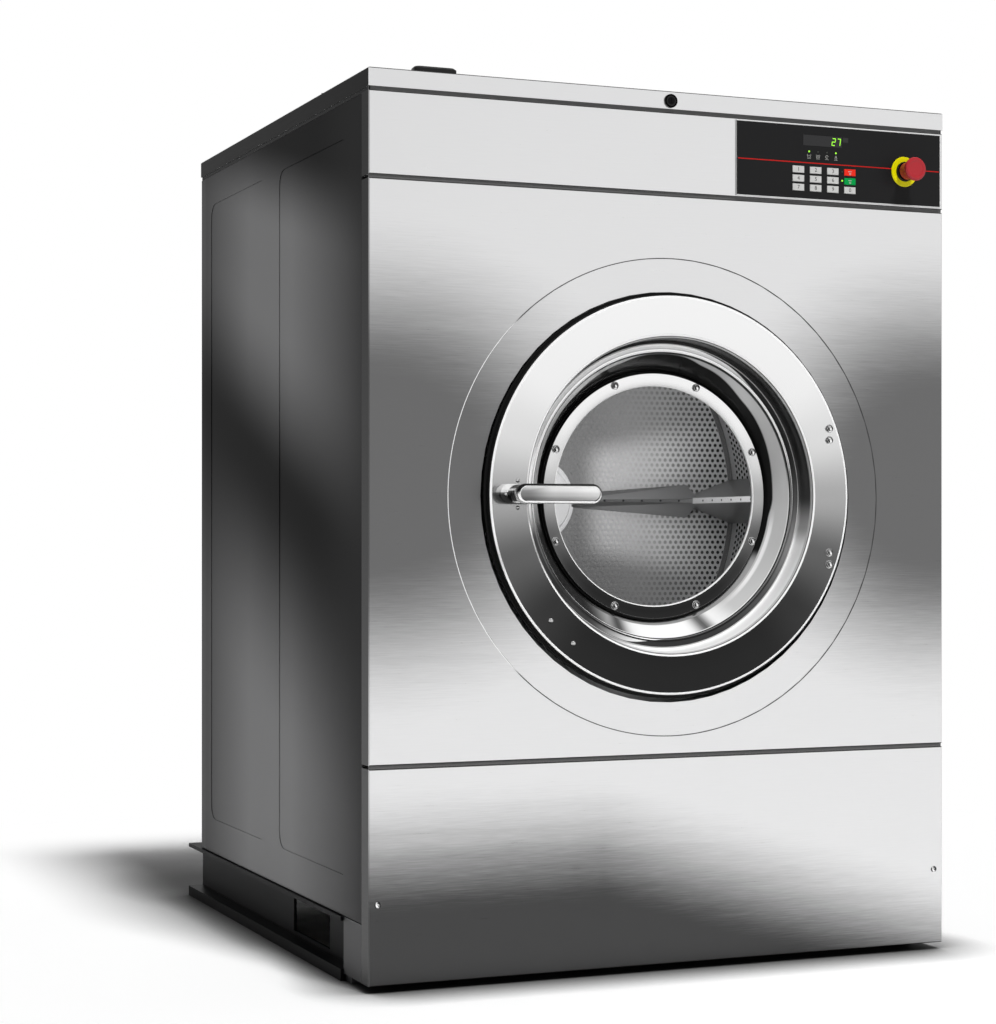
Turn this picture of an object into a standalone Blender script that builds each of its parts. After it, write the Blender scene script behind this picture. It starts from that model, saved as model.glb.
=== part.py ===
"""Hard mount washer extractor: base, cabinet, controls, tub, drum, drive and door.

Metres, +Z up, floor at z = 0. The front faces -Y, and +X is to the right of a user who stands
before the door. Stations along Y are given as depths behind the front panels' face.
"""
import bpy
import bmesh
from math import acos, atan2, cos, hypot, pi, radians, sin, sqrt
from mathutils import Matrix, Vector

# Cabinet
cabinet_width = 1.042
cabinet_height = 1.424
cabinet_depth = 0.992
sheet = 0.002
touch = 0.0003
fold = 0.0015
return_depth = 0.034
overrun = 0.01

# Front bands
lower_height = 0.3362
panel_seam = 0.0055
control_height = 0.1305
cover_seam = 0.006
cover_height = 0.029
cover_proud = 0.0005

# Base rails
sole_thickness = 0.012
channel_height = 0.091
flange_thickness = 0.007
web_thickness = 0.005
web_inset = 0.0285
rail_proud = 0.005
rail_setback = 0.122
rail_tail = 0.076
fork_setback = 0.1405
fork_length = 0.2
fork_margin = 0.006

# Front and rear members of the base
front_beam_depth = 0.03
front_shelf = 0.006
rear_beam_depth = 0.06
rear_beam_height = 0.07
motor_shelf_thickness = 0.008
motor_shelf_margin = 0.03

# Side panels
side_return = 0.012
field_press = 0.001
field_radius = 0.028
field_bottom = 0.157
field_top = 1.331
front_field_start = 0.098
front_field_end = 0.474
rear_field_start = 0.555
rear_field_end = 0.92

# Main front panel
mouth_radius = 0.335
mouth_drop = 0.003
seam_radius = 0.389
seam_width = 0.0014
seam_press = 0.0008

# Rear panel and water inlet
rear_panel_margin = 0.003
outlet_clearance = 0.004
inlet_width = 0.16
inlet_height = 0.05
inlet_depth = 0.03
inlet_below_top = 0.12
inlet_offset = 0.2
inlet_spout_radius = 0.013
inlet_spout_length = 0.024
inlet_spout_pitch = 0.08

# Top cover, its hinge and its lock
cover_knuckle_radius = 0.005
cover_fixed_radius = 0.004
cover_knuckle_length = 0.06
cover_knuckle_gap = 0.0005
cover_knuckle_inset = 0.191
cover_hinge_behind = 0.0045
cover_hinge_rise = 0.003
cover_leaf_thickness = 0.003
cover_leaf_height = 0.06
cover_pin_radius = 0.0018
cover_bore_radius = 0.0024
lock_below_top = 0.016
lock_head_radius = 0.011
lock_head_thickness = 0.0022
lock_barrel_radius = 0.0092
lock_barrel_length = 0.018
lock_tongue_reach = 0.015
lock_tongue_width = 0.008
lock_tongue_thickness = 0.003
keeper_post_gap = 0.0025
keeper_arm_overlap = 0.007
keeper_depth = 0.008

# Dispenser lid and box
lid_inset = 0.12
lid_width = 0.2
lid_start = 0.018
lid_length = 0.2395
lid_thickness = 0.003
lid_knuckle_radius = 0.0022
lid_ear_radius = 0.003
lid_ear_length = 0.012
lid_pin_radius = 0.0012
lid_pin_bore_radius = 0.0017
lid_pin_length = 0.008
grip_width = 0.072
grip_depth = 0.024
grip_height = 0.0095
grip_start = 0.02
grip_edge = 0.003
box_width = 0.18
box_start = 0.05
box_length = 0.19
box_height = 0.13
box_wall = 0.0025
lid_opening_margin = 0.012
spout_radius = 0.02
spout_side_inset = 0.032

# Control overlay and display
overlay_width = 0.3948
overlay_right_margin = 0.0055
overlay_margin = 0.0031
overlay_thickness = 0.0015
window_from_right = 0.2743
window_width = 0.0746
window_height = 0.018
window_below_top = 0.0283
window_proud = 0.0002
lip = 0.001
lip_thickness = 0.0014
panel_cutout_margin = 0.003

# Keypad
key_width = 0.022
key_height = 0.0112
key_column_pitch = 0.0331
key_row_pitch = 0.015
key_from_right = 0.2946
key_below_top = 0.078
key_proud = 0.001
key_edge = 0.0005
key_gap = 0.0003
key_rows = 3
key_columns = 4

# Emergency stop
stop_from_right = 0.0776
stop_below_top = 0.0703
stop_ring_radius = 0.0255
stop_ring_thickness = 0.0015
stop_neck_radius = 0.0118
stop_neck_reach = 0.0165
stop_body_radius = 0.011
stop_body_depth = 0.03
stop_nut_radius = 0.016
stop_nut_thickness = 0.01
stop_bore_radius = 0.0082
stop_stem_radius = 0.0075
stop_sleeve_radius = 0.0145
stop_sleeve_bore = 0.0123
stop_sleeve_start = 0.011
stop_sleeve_web = 0.003
stop_plunger_reach = 0.032
stop_head_radius = 0.02
stop_head_reach = 0.0405
stop_head_edge = 0.003

# Door, as depths behind the front face unless said
door_height = 0.776
door_radius = 0.3265
door_proud = 0.015
door_rim_back = 0.001
door_sheet = 0.0025
rim_wall = 0.003
rim_edge = 0.0035
annulus_inner_radius = 0.262
bead = 0.003
step_radius = 0.2525
step_depth = 0.02
ledge_inner_radius = 0.236
bowl_wall_radius = 0.2085
bowl_wall_depth = 0.062
bowl_floor_depth = 0.068
lip_radius = 0.186
glass_radius = 0.204
glass_thickness = 0.008
clamp_radius = 0.2043
clamp_inner_radius = 0.1815
clamp_thickness = 0.0044
clamp_nut_circle = 0.193
clamp_nut_count = 8
nut_width = 0.0052
nut_height = 0.004
nut_dome = 0.0045
nut_sink = 0.0003

# Door hinge
hinge_offset = 0.322
hinge_depth = -0.007
hinge_barrel_radius = 0.005
hinge_leaf_half_height = 0.0215
hinge_arm_height = 0.022
hinge_knuckle_gap = 0.0005
hinge_pin_radius = 0.0024
hinge_bore_radius = 0.0031
leaf_inner = 0.27
leaf_outer = 0.298
leaf_half_height = 0.12
leaf_thickness = 0.003
arm_elbow = 0.304
arm_elbow_depth = 0.016
arm_width = 0.008
hinge_plate_width = 0.065
hinge_plate_height = 0.13
hinge_plate_thickness = 0.008
hinge_nut_offset = 0.289
hinge_nut_near = 0.094
hinge_nut_far = 0.1135
rim_notch_half_height = 0.048
rim_notch_inner = 0.3

# Door handle, latch and lock
handle_offset = -0.289
handle_base_length = 0.0695
handle_base_overhang = 0.026
handle_base_height = 0.0315
handle_base_thickness = 0.0197
handle_collar_radius = 0.0147
handle_grip_length = 0.144
handle_grip_lead = 0.014
handle_grip_height = 0.031
handle_grip_start = 0.06
handle_proud = 0.08
handle_edge = 0.003
handle_shaft_radius = 0.0085
handle_bore_radius = 0.0092
handle_shaft_end = 0.013
latch_start = 0.005
latch_thickness = 0.006
latch_reach = 0.041
latch_width = 0.014
latch_hub_radius = 0.013
latch_bore_radius = 0.0089
lock_box_start = 0.016
lock_box_width = 0.09
lock_box_height = 0.12
lock_box_outer = 0.4

# Tub, as depths behind the front face
tub_side_clearance = 0.071
tub_wall = 0.003
tub_front_depth = 0.0955
tub_rear_clearance = 0.0241
tub_rear_hole = 0.06
collar_radius = 0.2445
collar_wall = 0.003
collar_start = 0.0418
gasket_inner_radius = 0.2385
gasket_outer_radius = 0.25

# Drum
drum_clearance = 0.0305
drum_wall = 0.0015
drum_front_depth = 0.112
drum_front_thickness = 0.002
drum_mouth_radius = 0.252
drum_mouth_lip = 0.008
drum_back_thickness = 0.003
hub_cap_radius = 0.068
hub_cap_height = 0.0153
hub_cap_edge = 0.003
lifter_count = 3
lifter_height = 0.105
lifter_base = 0.084
lifter_crest = 0.01
lifter_front_gap = 0.004
rib_inner_radius = 0.075
rib_inner_height = 0.012
rib_inner_base = 0.026
rib_outer_height = 0.05

# Shaft, bearings and A-frame
shaft_flange_radius = 0.14
shaft_flange_thickness = 0.012
shaft_boss_radius = 0.045
shaft_radius = 0.035
a_frame_thickness = 0.03
a_frame_foot_inset = 0.018
a_frame_foot_height = 0.055
a_frame_top_width = 0.3
a_frame_top_rise = 0.23
a_frame_leg_width = 0.095
a_frame_opening_top = 0.22
housing_spigot_radius = 0.105
housing_radius = 0.095
housing_flange_radius = 0.15
housing_flange_thickness = 0.015
housing_length = 0.205
bearing_radius = 0.075
bearing_bore = 0.0358
bearing_width = 0.035
bearing_setback = 0.01
shoulder_radius = 0.055

# Pulleys, belt and motor
pulley_gap = 0.0494
rear_space = 0.082
pulley_width = 0.04
pulley_groove_radius = 0.23
pulley_lip = 0.008
pulley_lip_width = 0.005
pulley_rim = 0.02
pulley_web = 0.012
pulley_hub_radius = 0.06
pulley_hub_overhang = 0.008
pulley_window_count = 5
pulley_window_radius = 0.05
pulley_window_circle = 0.135
motor_groove_radius = 0.046
motor_shaft_radius = 0.014
motor_shaft_bore = 0.0148
motor_shaft_engagement = 0.02
belt_thickness = 0.009
belt_clearance = 0.0008
belt_side_gap = 0.002
motor_inset = 0.251
motor_height = 0.265
motor_radius = 0.1
motor_length = 0.165
motor_bell_length = 0.025
motor_bell_radius = 0.08
motor_foot_width = 0.17
motor_foot_length = 0.12
terminal_box = 0.07
motor_rear_gap = 0.02

# Drain
drain_offset = -0.08
drain_depth = 0.45
drain_radius = 0.038
drain_stub_radius = 0.042
drain_body_radius = 0.045
drain_body_length = 0.12
drain_height_share = 0.505
drain_outlet_length = 0.04
drain_wall = 0.003

# Counts of sides
fine_steps = 56
mid_steps = 40
small_steps = 24
tiny_steps = 12
smooth_angle = radians(35)
weld = 0.00001

# Derived places
half_width = cabinet_width / 2
rail_end = cabinet_depth + rail_tail
front = -(rail_end - handle_proud) / 2
rail_top = sole_thickness + channel_height
cover_top = sole_thickness + cabinet_height
cover_bottom = cover_top - cover_height
control_top = cover_bottom - cover_seam
control_bottom = control_top - control_height
main_top = control_bottom - panel_seam
lower_top = sole_thickness + lower_height
main_bottom = lower_top + panel_seam
overlay_front = -(touch + overlay_thickness)
cover_knuckle_offset = half_width - cover_knuckle_inset
lid_centre = -(half_width - lid_inset)
overlay_left = half_width - overlay_right_margin - overlay_width
window_left = half_width - window_from_right
key_left = half_width - key_from_right
stop_centre = half_width - stop_from_right
motor_offset = half_width - motor_inset

# Derived tub, drum and drive, stacked forwards from the rear panel
tub_radius = half_width - tub_side_clearance
drum_radius = tub_radius - tub_wall - drum_wall - drum_clearance
pulley_depth = cabinet_depth - sheet - rear_space - pulley_hub_overhang - pulley_width
a_frame_depth = pulley_depth - pulley_gap - housing_length - touch
tub_back_depth = a_frame_depth - touch
drum_back_end = tub_back_depth - tub_wall - tub_rear_clearance - shaft_flange_thickness - touch
drum_back_depth = drum_back_end - drum_back_thickness
drain_height = rail_top + (door_height - tub_radius - rail_top) * drain_height_share


def deep(depth):
    """Y of a station that lies this far behind the front panels' face."""
    return front + depth


def clear_scene():
    for item in list(bpy.data.objects):
        bpy.data.objects.remove(item, do_unlink=True)


def finish_look(name, colour, roughness, metallic=0.0, alpha=1.0):
    look = bpy.data.materials.new(name)
    look.use_nodes = True
    shader = look.node_tree.nodes["Principled BSDF"]
    shader.inputs["Base Color"].default_value = (*colour, 1.0)
    shader.inputs["Roughness"].default_value = roughness
    shader.inputs["Metallic"].default_value = metallic
    shader.inputs["Alpha"].default_value = alpha
    return look


def make_looks():
    return {
        "steel": finish_look("brushed_steel", (0.72, 0.72, 0.73), 0.3, 1.0),
        "chrome": finish_look("polished_steel", (0.82, 0.82, 0.83), 0.06, 1.0),
        "drum": finish_look("drum_steel", (0.6, 0.6, 0.61), 0.3, 1.0),
        "grey": finish_look("grey_enamel", (0.12, 0.12, 0.125), 0.4),
        "black": finish_look("black_enamel", (0.015, 0.015, 0.016), 0.45),
        "overlay": finish_look("black_overlay", (0.012, 0.012, 0.013), 0.25),
        "plastic": finish_look("black_plastic", (0.02, 0.02, 0.02), 0.5),
        "key": finish_look("key_grey", (0.55, 0.56, 0.56), 0.45),
        "key_stop": finish_look("key_red", (0.75, 0.04, 0.03), 0.45),
        "key_start": finish_look("key_green", (0.0, 0.35, 0.1), 0.45),
        "yellow": finish_look("signal_yellow", (0.85, 0.75, 0.02), 0.4),
        "red": finish_look("signal_red", (0.6, 0.03, 0.04), 0.35),
        "rubber": finish_look("black_rubber", (0.01, 0.01, 0.01), 0.7),
        "glass": finish_look("door_glass", (0.9, 0.92, 0.92), 0.02, 0.0, 0.3),
        "iron": finish_look("cast_iron", (0.06, 0.065, 0.07), 0.6, 0.5),
        "motor": finish_look("motor_enamel", (0.05, 0.09, 0.14), 0.5),
        "galvanised": finish_look("galvanised_sheet", (0.5, 0.51, 0.52), 0.45, 0.9),
    }


def new_piece(name, mesh_data, look):
    """Object from a bmesh, with outward faces and smooth shading below the sharp angle."""
    bmesh.ops.recalc_face_normals(mesh_data, faces=mesh_data.faces[:])
    mesh = bpy.data.meshes.new(name)
    mesh_data.to_mesh(mesh)
    mesh_data.free()
    mesh.shade_smooth()
    mesh.set_sharp_from_angle(angle=smooth_angle)
    mesh.materials.append(look)
    piece = bpy.data.objects.new(name, mesh)
    bpy.context.scene.collection.objects.link(piece)
    return piece


def along(axis, across, up, distance):
    """Point from two coordinates across an axis and one along it."""
    if axis == "X":
        return Vector((distance, across, up))
    if axis == "Y":
        return Vector((across, distance, up))
    return Vector((across, up, distance))


def lofted(name, loops, look, ring=False):
    """Skin over loops of equal length, capped at both ends or closed into a ring."""
    bm = bmesh.new()
    rows = [[bm.verts.new(point) for point in loop] for loop in loops]
    count = len(rows[0])
    pairs = list(zip(rows, rows[1:]))
    if ring:
        pairs.append((rows[-1], rows[0]))
    for near, far in pairs:
        for k in range(count):
            j = (k + 1) % count
            bm.faces.new((near[k], near[j], far[j], far[k]))
    if not ring:
        bm.faces.new(rows[0])
        bm.faces.new(rows[-1])
    return new_piece(name, bm, look)


def prism(name, outline, start, end, look, axis="Y"):
    """Outline extruded from one station to another along an axis."""
    bm = bmesh.new()
    corners = [bm.verts.new(along(axis, a, b, start)) for a, b in outline]
    face = bm.faces.new(corners)
    grown = bmesh.ops.extrude_face_region(bm, geom=[face])
    moved = [item for item in grown["geom"] if isinstance(item, bmesh.types.BMVert)]
    bmesh.ops.translate(bm, verts=moved, vec=along(axis, 0, 0, end - start))
    return new_piece(name, bm, look)


def block(name, low, high, look):
    """Rectangular block between two corners."""
    bm = bmesh.new()
    bmesh.ops.create_cube(bm, size=1)
    size = Vector(high) - Vector(low)
    bmesh.ops.scale(bm, vec=size, verts=bm.verts)
    bmesh.ops.translate(bm, vec=(Vector(high) + Vector(low)) / 2, verts=bm.verts)
    return new_piece(name, bm, look)


def turned(name, profile, centre, look, steps=mid_steps, axis="Y", closed=True):
    """Profile of (radius, station) pairs spun about an axis through centre.

    A closed profile is a loop off the axis. An open one starts and ends on the axis.
    """
    bm = bmesh.new()
    verts = [bm.verts.new((radius, 0, station)) for radius, station in profile]
    edges = [bm.edges.new(pair) for pair in zip(verts, verts[1:])]
    if closed:
        edges.append(bm.edges.new((verts[-1], verts[0])))
    bmesh.ops.spin(bm, geom=verts + edges, cent=(0, 0, 0), axis=(0, 0, 1), dvec=(0, 0, 0),
                   angle=2 * pi, steps=steps, use_merge=True)
    bmesh.ops.remove_doubles(bm, verts=bm.verts[:], dist=weld)
    if axis == "Y":
        bm.transform(Matrix.Rotation(-pi / 2, 4, "X"))
    if axis == "X":
        bm.transform(Matrix.Rotation(pi / 2, 4, "Y"))
    bmesh.ops.translate(bm, vec=along(axis, centre[0], centre[1], 0), verts=bm.verts)
    return new_piece(name, bm, look)


def rod(name, radius, start, end, centre, look, steps=small_steps, axis="Y"):
    """Plain round bar."""
    profile = [(0, start), (radius, start), (radius, end), (0, end)]
    return turned(name, profile, centre, look, steps, axis, closed=False)


def tube(name, radius, bore, start, end, centre, look, steps=small_steps, axis="Y"):
    """Plain round sleeve."""
    profile = [(bore, start), (radius, start), (radius, end), (bore, end)]
    return turned(name, profile, centre, look, steps, axis)


def rectangle(low, high, inset=0.0):
    """Four corners of a rectangle between two (across, up) corners."""
    x0, z0 = low[0] + inset, low[1] + inset
    x1, z1 = high[0] - inset, high[1] - inset
    return [(x0, z0), (x1, z0), (x1, z1), (x0, z1)]


def rounded_rectangle(low, high, radius, steps=4):
    """Rectangle with quarter round corners."""
    points = []
    corners = [(high[0] - radius, high[1] - radius, 0), (low[0] + radius, high[1] - radius, 1),
               (low[0] + radius, low[1] + radius, 2), (high[0] - radius, low[1] + radius, 3)]
    for x, z, quarter in corners:
        for k in range(steps + 1):
            angle = (quarter + k / steps) * pi / 2
            points.append((x + radius * cos(angle), z + radius * sin(angle)))
    return points


def stations(axis, outline, distance):
    return [along(axis, a, b, distance) for a, b in outline]


def tray(name, low, high, face, back, look, axis="Y", wall=sheet, edge=fold):
    """Sheet metal tray: a face with its edges folded back towards the open side."""
    inward = 1 if back > face else -1
    loops = [stations(axis, rectangle(low, high, edge), face),
             stations(axis, rectangle(low, high), face + inward * edge),
             stations(axis, rectangle(low, high), back),
             stations(axis, rectangle(low, high, wall), back),
             stations(axis, rectangle(low, high, wall), face + inward * wall)]
    return lofted(name, loops, look)


def stepped_block(name, centre, sections, look):
    """Block along Y from (depth, half width, half height) sections."""
    loops = []
    for depth, half_across, half_up in sections:
        low = (centre[0] - half_across, centre[1] - half_up)
        high = (centre[0] + half_across, centre[1] + half_up)
        loops.append(stations("Y", rectangle(low, high), deep(depth)))
    return lofted(name, loops, look)


def as_guide(piece):
    piece.hide_render = True
    piece.display_type = "WIRE"


def combine(piece, others, operation):
    for other in others:
        as_guide(other)
        step = piece.modifiers.new(f"{operation.lower()}_{other.name}", "BOOLEAN")
        step.operation = operation
        step.object = other
        step.solver = "EXACT"
    return piece


def cut(piece, *cutters):
    return combine(piece, cutters, "DIFFERENCE")


def join(piece, *others):
    return combine(piece, others, "UNION")


def pivot(name, place):
    """Empty on a joint's axis that carries a moving piece."""
    empty = bpy.data.objects.new(name, None)
    empty.location = place
    bpy.context.scene.collection.objects.link(empty)
    return empty


def carry(empty, *pieces):
    """Parent pieces to a pivot and leave them where they stand."""
    for piece in pieces:
        piece.data.transform(Matrix.Translation(-empty.location))
        piece.parent = empty


def round_loop(radius, centre, count, distance, axis="Y", turn=0.0):
    points = []
    for k in range(count):
        angle = 2 * pi * k / count + turn
        points.append(along(axis, centre[0] + radius * cos(angle), centre[1] + radius * sin(angle), distance))
    return points


def acorn_nut(name, centre, seat, look):
    """Domed hexagon nut on a face at this depth, its dome towards the user."""
    sides = 6
    corner_radius = nut_width / cos(pi / sides)
    dome_base = seat - nut_height
    loops = [round_loop(corner_radius, centre, sides, deep(seat + nut_sink)),
             round_loop(corner_radius, centre, sides, deep(dome_base))]
    dome_rings = 3
    for k in range(dome_rings):
        angle = pi / 2 * k / dome_rings
        ring_depth = dome_base - nut_dome * sin(angle)
        loops.append(round_loop(nut_width * cos(angle), centre, sides, deep(ring_depth - weld)))
    return lofted(name, loops, look)


def make_rail(name, side, looks):
    outer = half_width + rail_proud
    web_outer = outer - web_inset
    inner = web_outer - web_thickness
    floor = sole_thickness + flange_thickness
    ceiling = rail_top - flange_thickness
    outline = [(inner, 0), (outer, 0), (outer, floor), (web_outer, floor),
               (web_outer, ceiling), (outer, ceiling), (outer, rail_top), (inner, rail_top)]
    rail = prism(name, [(side * x, z) for x, z in outline], deep(rail_setback), deep(rail_end), looks["black"])
    start = deep(rail_setback + fork_setback)
    low = (min(side * (inner - overrun), side * (web_outer + overrun)), start, floor + fork_margin)
    high = (max(side * (inner - overrun), side * (web_outer + overrun)), start + fork_length,
            ceiling - fork_margin)
    return cut(rail, block(f"{name}_fork_window", low, high, looks["black"]))


def make_base(looks):
    make_rail("rail_left", -1, looks)
    make_rail("rail_right", 1, looks)
    start = deep(return_depth + touch)
    end = deep(rail_setback - touch)
    inside = half_width - sheet
    outline = [(-half_width, sole_thickness), (-inside, sole_thickness), (-inside, rail_top - front_shelf),
               (inside, rail_top - front_shelf), (inside, sole_thickness), (half_width, sole_thickness),
               (half_width, rail_top), (-half_width, rail_top)]
    member = prism("base_front", outline, start, end, looks["grey"])
    beam = block("base_front_beam", (-inside + sheet, end - front_beam_depth, 0),
                 (inside - sheet, end, rail_top - front_shelf / 2), looks["grey"])
    join(member, beam)
    reach = half_width + rail_proud - web_inset - web_thickness - touch
    beam_end = deep(pulley_depth + pulley_width)
    rear = block("base_rear", (-reach, beam_end - rear_beam_depth, rail_top - rear_beam_height),
                 (reach, beam_end, rail_top), looks["black"])
    half_shelf = motor_foot_width / 2 + motor_shelf_margin
    shelf = block("base_rear_shelf",
                  (motor_offset - half_shelf, deep(a_frame_depth + a_frame_thickness) + touch,
                   rail_top - motor_shelf_thickness),
                  (motor_offset + half_shelf, beam_end - rear_beam_depth / 2, rail_top + touch),
                  looks["black"])
    join(rear, shelf)


def make_side_panel(name, side, looks):
    start = deep(return_depth + touch)
    end = deep(cabinet_depth - sheet - touch)
    panel = tray(name, (start, rail_top + touch), (end, control_top), side * half_width,
                 side * (half_width - side_return), looks["grey"], axis="X")
    for label, near, far in (("front_field", front_field_start, front_field_end),
                             ("rear_field", rear_field_start, rear_field_end)):
        outline = rounded_rectangle((deep(near), sole_thickness + field_bottom),
                                    (deep(far), sole_thickness + field_top), field_radius)
        field = prism(f"{name}_{label}", outline, side * (half_width - field_press),
                      side * (half_width + overrun), looks["grey"], axis="X")
        cut(panel, field)


def make_front_panels(looks):
    tray("lower_panel", (-half_width, sole_thickness), (half_width, lower_top), deep(0), deep(return_depth),
         looks["steel"])
    panel = tray("front_panel", (-half_width, main_bottom), (half_width, main_top), deep(0),
                 deep(return_depth), looks["steel"])
    centre = (0, door_height - mouth_drop)
    mouth = rod("front_panel_mouth", mouth_radius, deep(-overrun), deep(overrun), centre, looks["steel"],
                fine_steps)
    seam = tube("front_panel_seam", seam_radius + seam_width, seam_radius, deep(-overrun), deep(seam_press),
                centre, looks["steel"], fine_steps)
    cut(panel, mouth, seam)


def cover_axis():
    """Y and Z of the top cover's hinge."""
    return deep(cabinet_depth + cover_proud + cover_hinge_behind), cover_bottom + cover_hinge_rise


def make_rear_panel(looks):
    inner = deep(cabinet_depth - sheet)
    outer = deep(cabinet_depth)
    edge = half_width - rear_panel_margin
    panel = block("rear_panel", (-edge, inner, rail_top + rear_panel_margin),
                  (edge, outer, control_top - touch), looks["galvanised"])
    outlet = rod("rear_panel_outlet", drain_radius + outlet_clearance, inner - overrun, outer + overrun,
                 (drain_offset, drain_height), looks["galvanised"])
    cut(panel, outlet)
    hinge_y, hinge_z = cover_axis()
    for side, label in ((-1, "left"), (1, "right")):
        centre = side * cover_knuckle_offset
        low = centre - cover_knuckle_length / 2
        high = centre + cover_knuckle_length / 2
        leaf = block(f"rear_panel_leaf_{label}",
                     (low + fold, outer - sheet / 2, control_top - cover_leaf_height),
                     (high - fold, hinge_y - cover_fixed_radius + cover_leaf_thickness, hinge_z),
                     looks["galvanised"])
        leaf_cut = block(f"rear_panel_leaf_relief_{label}",
                         (low - overrun, outer - sheet, control_top - touch - fold),
                         (high + overrun, hinge_y - cover_fixed_radius, hinge_z + overrun),
                         looks["galvanised"])
        cut(leaf, leaf_cut)
        outer_end, inner_end = (high, low) if side > 0 else (low, high)
        pin_end = inner_end - side * cover_knuckle_length / 2
        profile = [(0, outer_end), (cover_fixed_radius, outer_end), (cover_fixed_radius, inner_end),
                   (cover_pin_radius, inner_end), (cover_pin_radius, pin_end), (0, pin_end)]
        knuckle = turned(f"rear_panel_knuckle_{label}", profile, (hinge_y, hinge_z), looks["galvanised"],
                         tiny_steps, axis="X", closed=False)
        join(panel, leaf, knuckle)


def make_water_inlet(looks):
    seat = deep(cabinet_depth) + touch
    top = control_top - inlet_below_top
    centre = inlet_offset
    body = block("water_inlet", (centre - inlet_width / 2, seat, top - inlet_height),
                 (centre + inlet_width / 2, seat + inlet_depth, top), looks["plastic"])
    for k in (-1, 1):
        x = centre + k * inlet_spout_pitch / 2
        spout = rod(f"water_inlet_spout_{k + 1}", inlet_spout_radius, seat + inlet_depth - sheet,
                    seat + inlet_depth + inlet_spout_length, (x, top - inlet_height / 2), looks["plastic"],
                    tiny_steps)
        join(body, spout)


def make_cover(looks):
    edge = half_width + cover_proud
    cover = tray("top_cover", (-edge, deep(-cover_proud)), (edge, deep(cabinet_depth + cover_proud)),
                 cover_top, cover_bottom, looks["steel"], axis="Z")
    opening = block("top_cover_opening",
                    (lid_centre - box_width / 2 + lid_opening_margin, deep(box_start + lid_opening_margin),
                     cover_bottom),
                    (lid_centre + box_width / 2 - lid_opening_margin,
                     deep(box_start + box_length - lid_opening_margin), cover_top + overrun), looks["steel"])
    lock_hole = rod("top_cover_lock_hole", lock_barrel_radius + touch, deep(-overrun),
                    deep(sheet + cover_proud), (0, cover_top - lock_below_top), looks["steel"])
    cut(cover, opening, lock_hole)
    hinge_y, hinge_z = cover_axis()
    for side, label in ((-1, "left"), (1, "right")):
        near = side * (cover_knuckle_offset - cover_knuckle_length / 2 - cover_knuckle_gap)
        far = near - side * cover_knuckle_length
        knuckle = tube(f"top_cover_knuckle_{label}", cover_knuckle_radius, cover_bore_radius, min(near, far),
                       max(near, far), (hinge_y, hinge_z), looks["steel"], tiny_steps, axis="X")
        join(cover, knuckle)
    ear_z = cover_top + touch + lid_knuckle_radius
    for side, label in ((-1, "left"), (1, "right")):
        near = lid_centre + side * (lid_width / 2 + cover_knuckle_gap)
        far = near + side * lid_ear_length
        ear = tube(f"top_cover_ear_{label}", lid_ear_radius, lid_pin_bore_radius, min(near, far),
                   max(near, far), (deep(lid_start + lid_length), ear_z), looks["steel"], tiny_steps,
                   axis="X")
        join(cover, ear)
    carry(pivot("cover_pivot", (0, hinge_y, hinge_z)), cover)


def make_cover_lock(looks):
    centre = (0, cover_top - lock_below_top)
    face = -(cover_proud + touch)
    profile = [(0, deep(face - lock_head_thickness)), (lock_head_radius, deep(face - lock_head_thickness)),
               (lock_head_radius, deep(face)), (lock_barrel_radius, deep(face)),
               (lock_barrel_radius, deep(lock_barrel_length)), (0, deep(lock_barrel_length))]
    lock = turned("cover_lock", profile, centre, looks["plastic"], small_steps, closed=False)
    tongue = block("cover_lock_tongue",
                   (-lock_tongue_width / 2, deep(lock_barrel_length - lock_tongue_thickness / 2),
                    centre[1] - lock_tongue_reach),
                   (lock_tongue_width / 2, deep(lock_barrel_length + lock_tongue_thickness), centre[1]),
                   looks["plastic"])
    join(lock, tongue)
    carry(pivot("cover_lock_pivot", (0, deep(0), centre[1])), lock)


def make_lid(looks):
    hinge_y = deep(lid_start + lid_length)
    base = cover_top + touch
    lid = block("dispenser_lid", (lid_centre - lid_width / 2, deep(lid_start), base),
                  (lid_centre + lid_width / 2, hinge_y, base + lid_thickness), looks["steel"])
    pin_reach = lid_width / 2 + lid_pin_length
    pin = rod("dispenser_lid_pin", lid_pin_radius, lid_centre - pin_reach, lid_centre + pin_reach,
              (hinge_y, base + lid_knuckle_radius), looks["steel"], tiny_steps, axis="X")
    knuckle = rod("dispenser_lid_knuckle", lid_knuckle_radius, lid_centre - lid_width / 2,
                  lid_centre + lid_width / 2, (hinge_y, base + lid_knuckle_radius), looks["steel"],
                  tiny_steps, axis="X")
    low = (lid_centre - grip_width / 2, deep(grip_start))
    high = (lid_centre + grip_width / 2, deep(grip_start + grip_depth))
    bottom = base + lid_thickness / 2
    top = base + lid_thickness + grip_height
    corner = grip_depth / 3
    loops = [stations("Z", rounded_rectangle(low, high, corner), bottom),
             stations("Z", rounded_rectangle(low, high, corner), top - grip_edge)]
    inset_low = (low[0] + grip_edge, low[1] + grip_edge)
    inset_high = (high[0] - grip_edge, high[1] - grip_edge)
    loops.append(stations("Z", rounded_rectangle(inset_low, inset_high, corner), top))
    grip = lofted("dispenser_lid_grip", loops, looks["plastic"])
    join(lid, knuckle, pin, grip)
    carry(pivot("lid_pivot", (lid_centre, hinge_y, base + lid_knuckle_radius)), lid)


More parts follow.
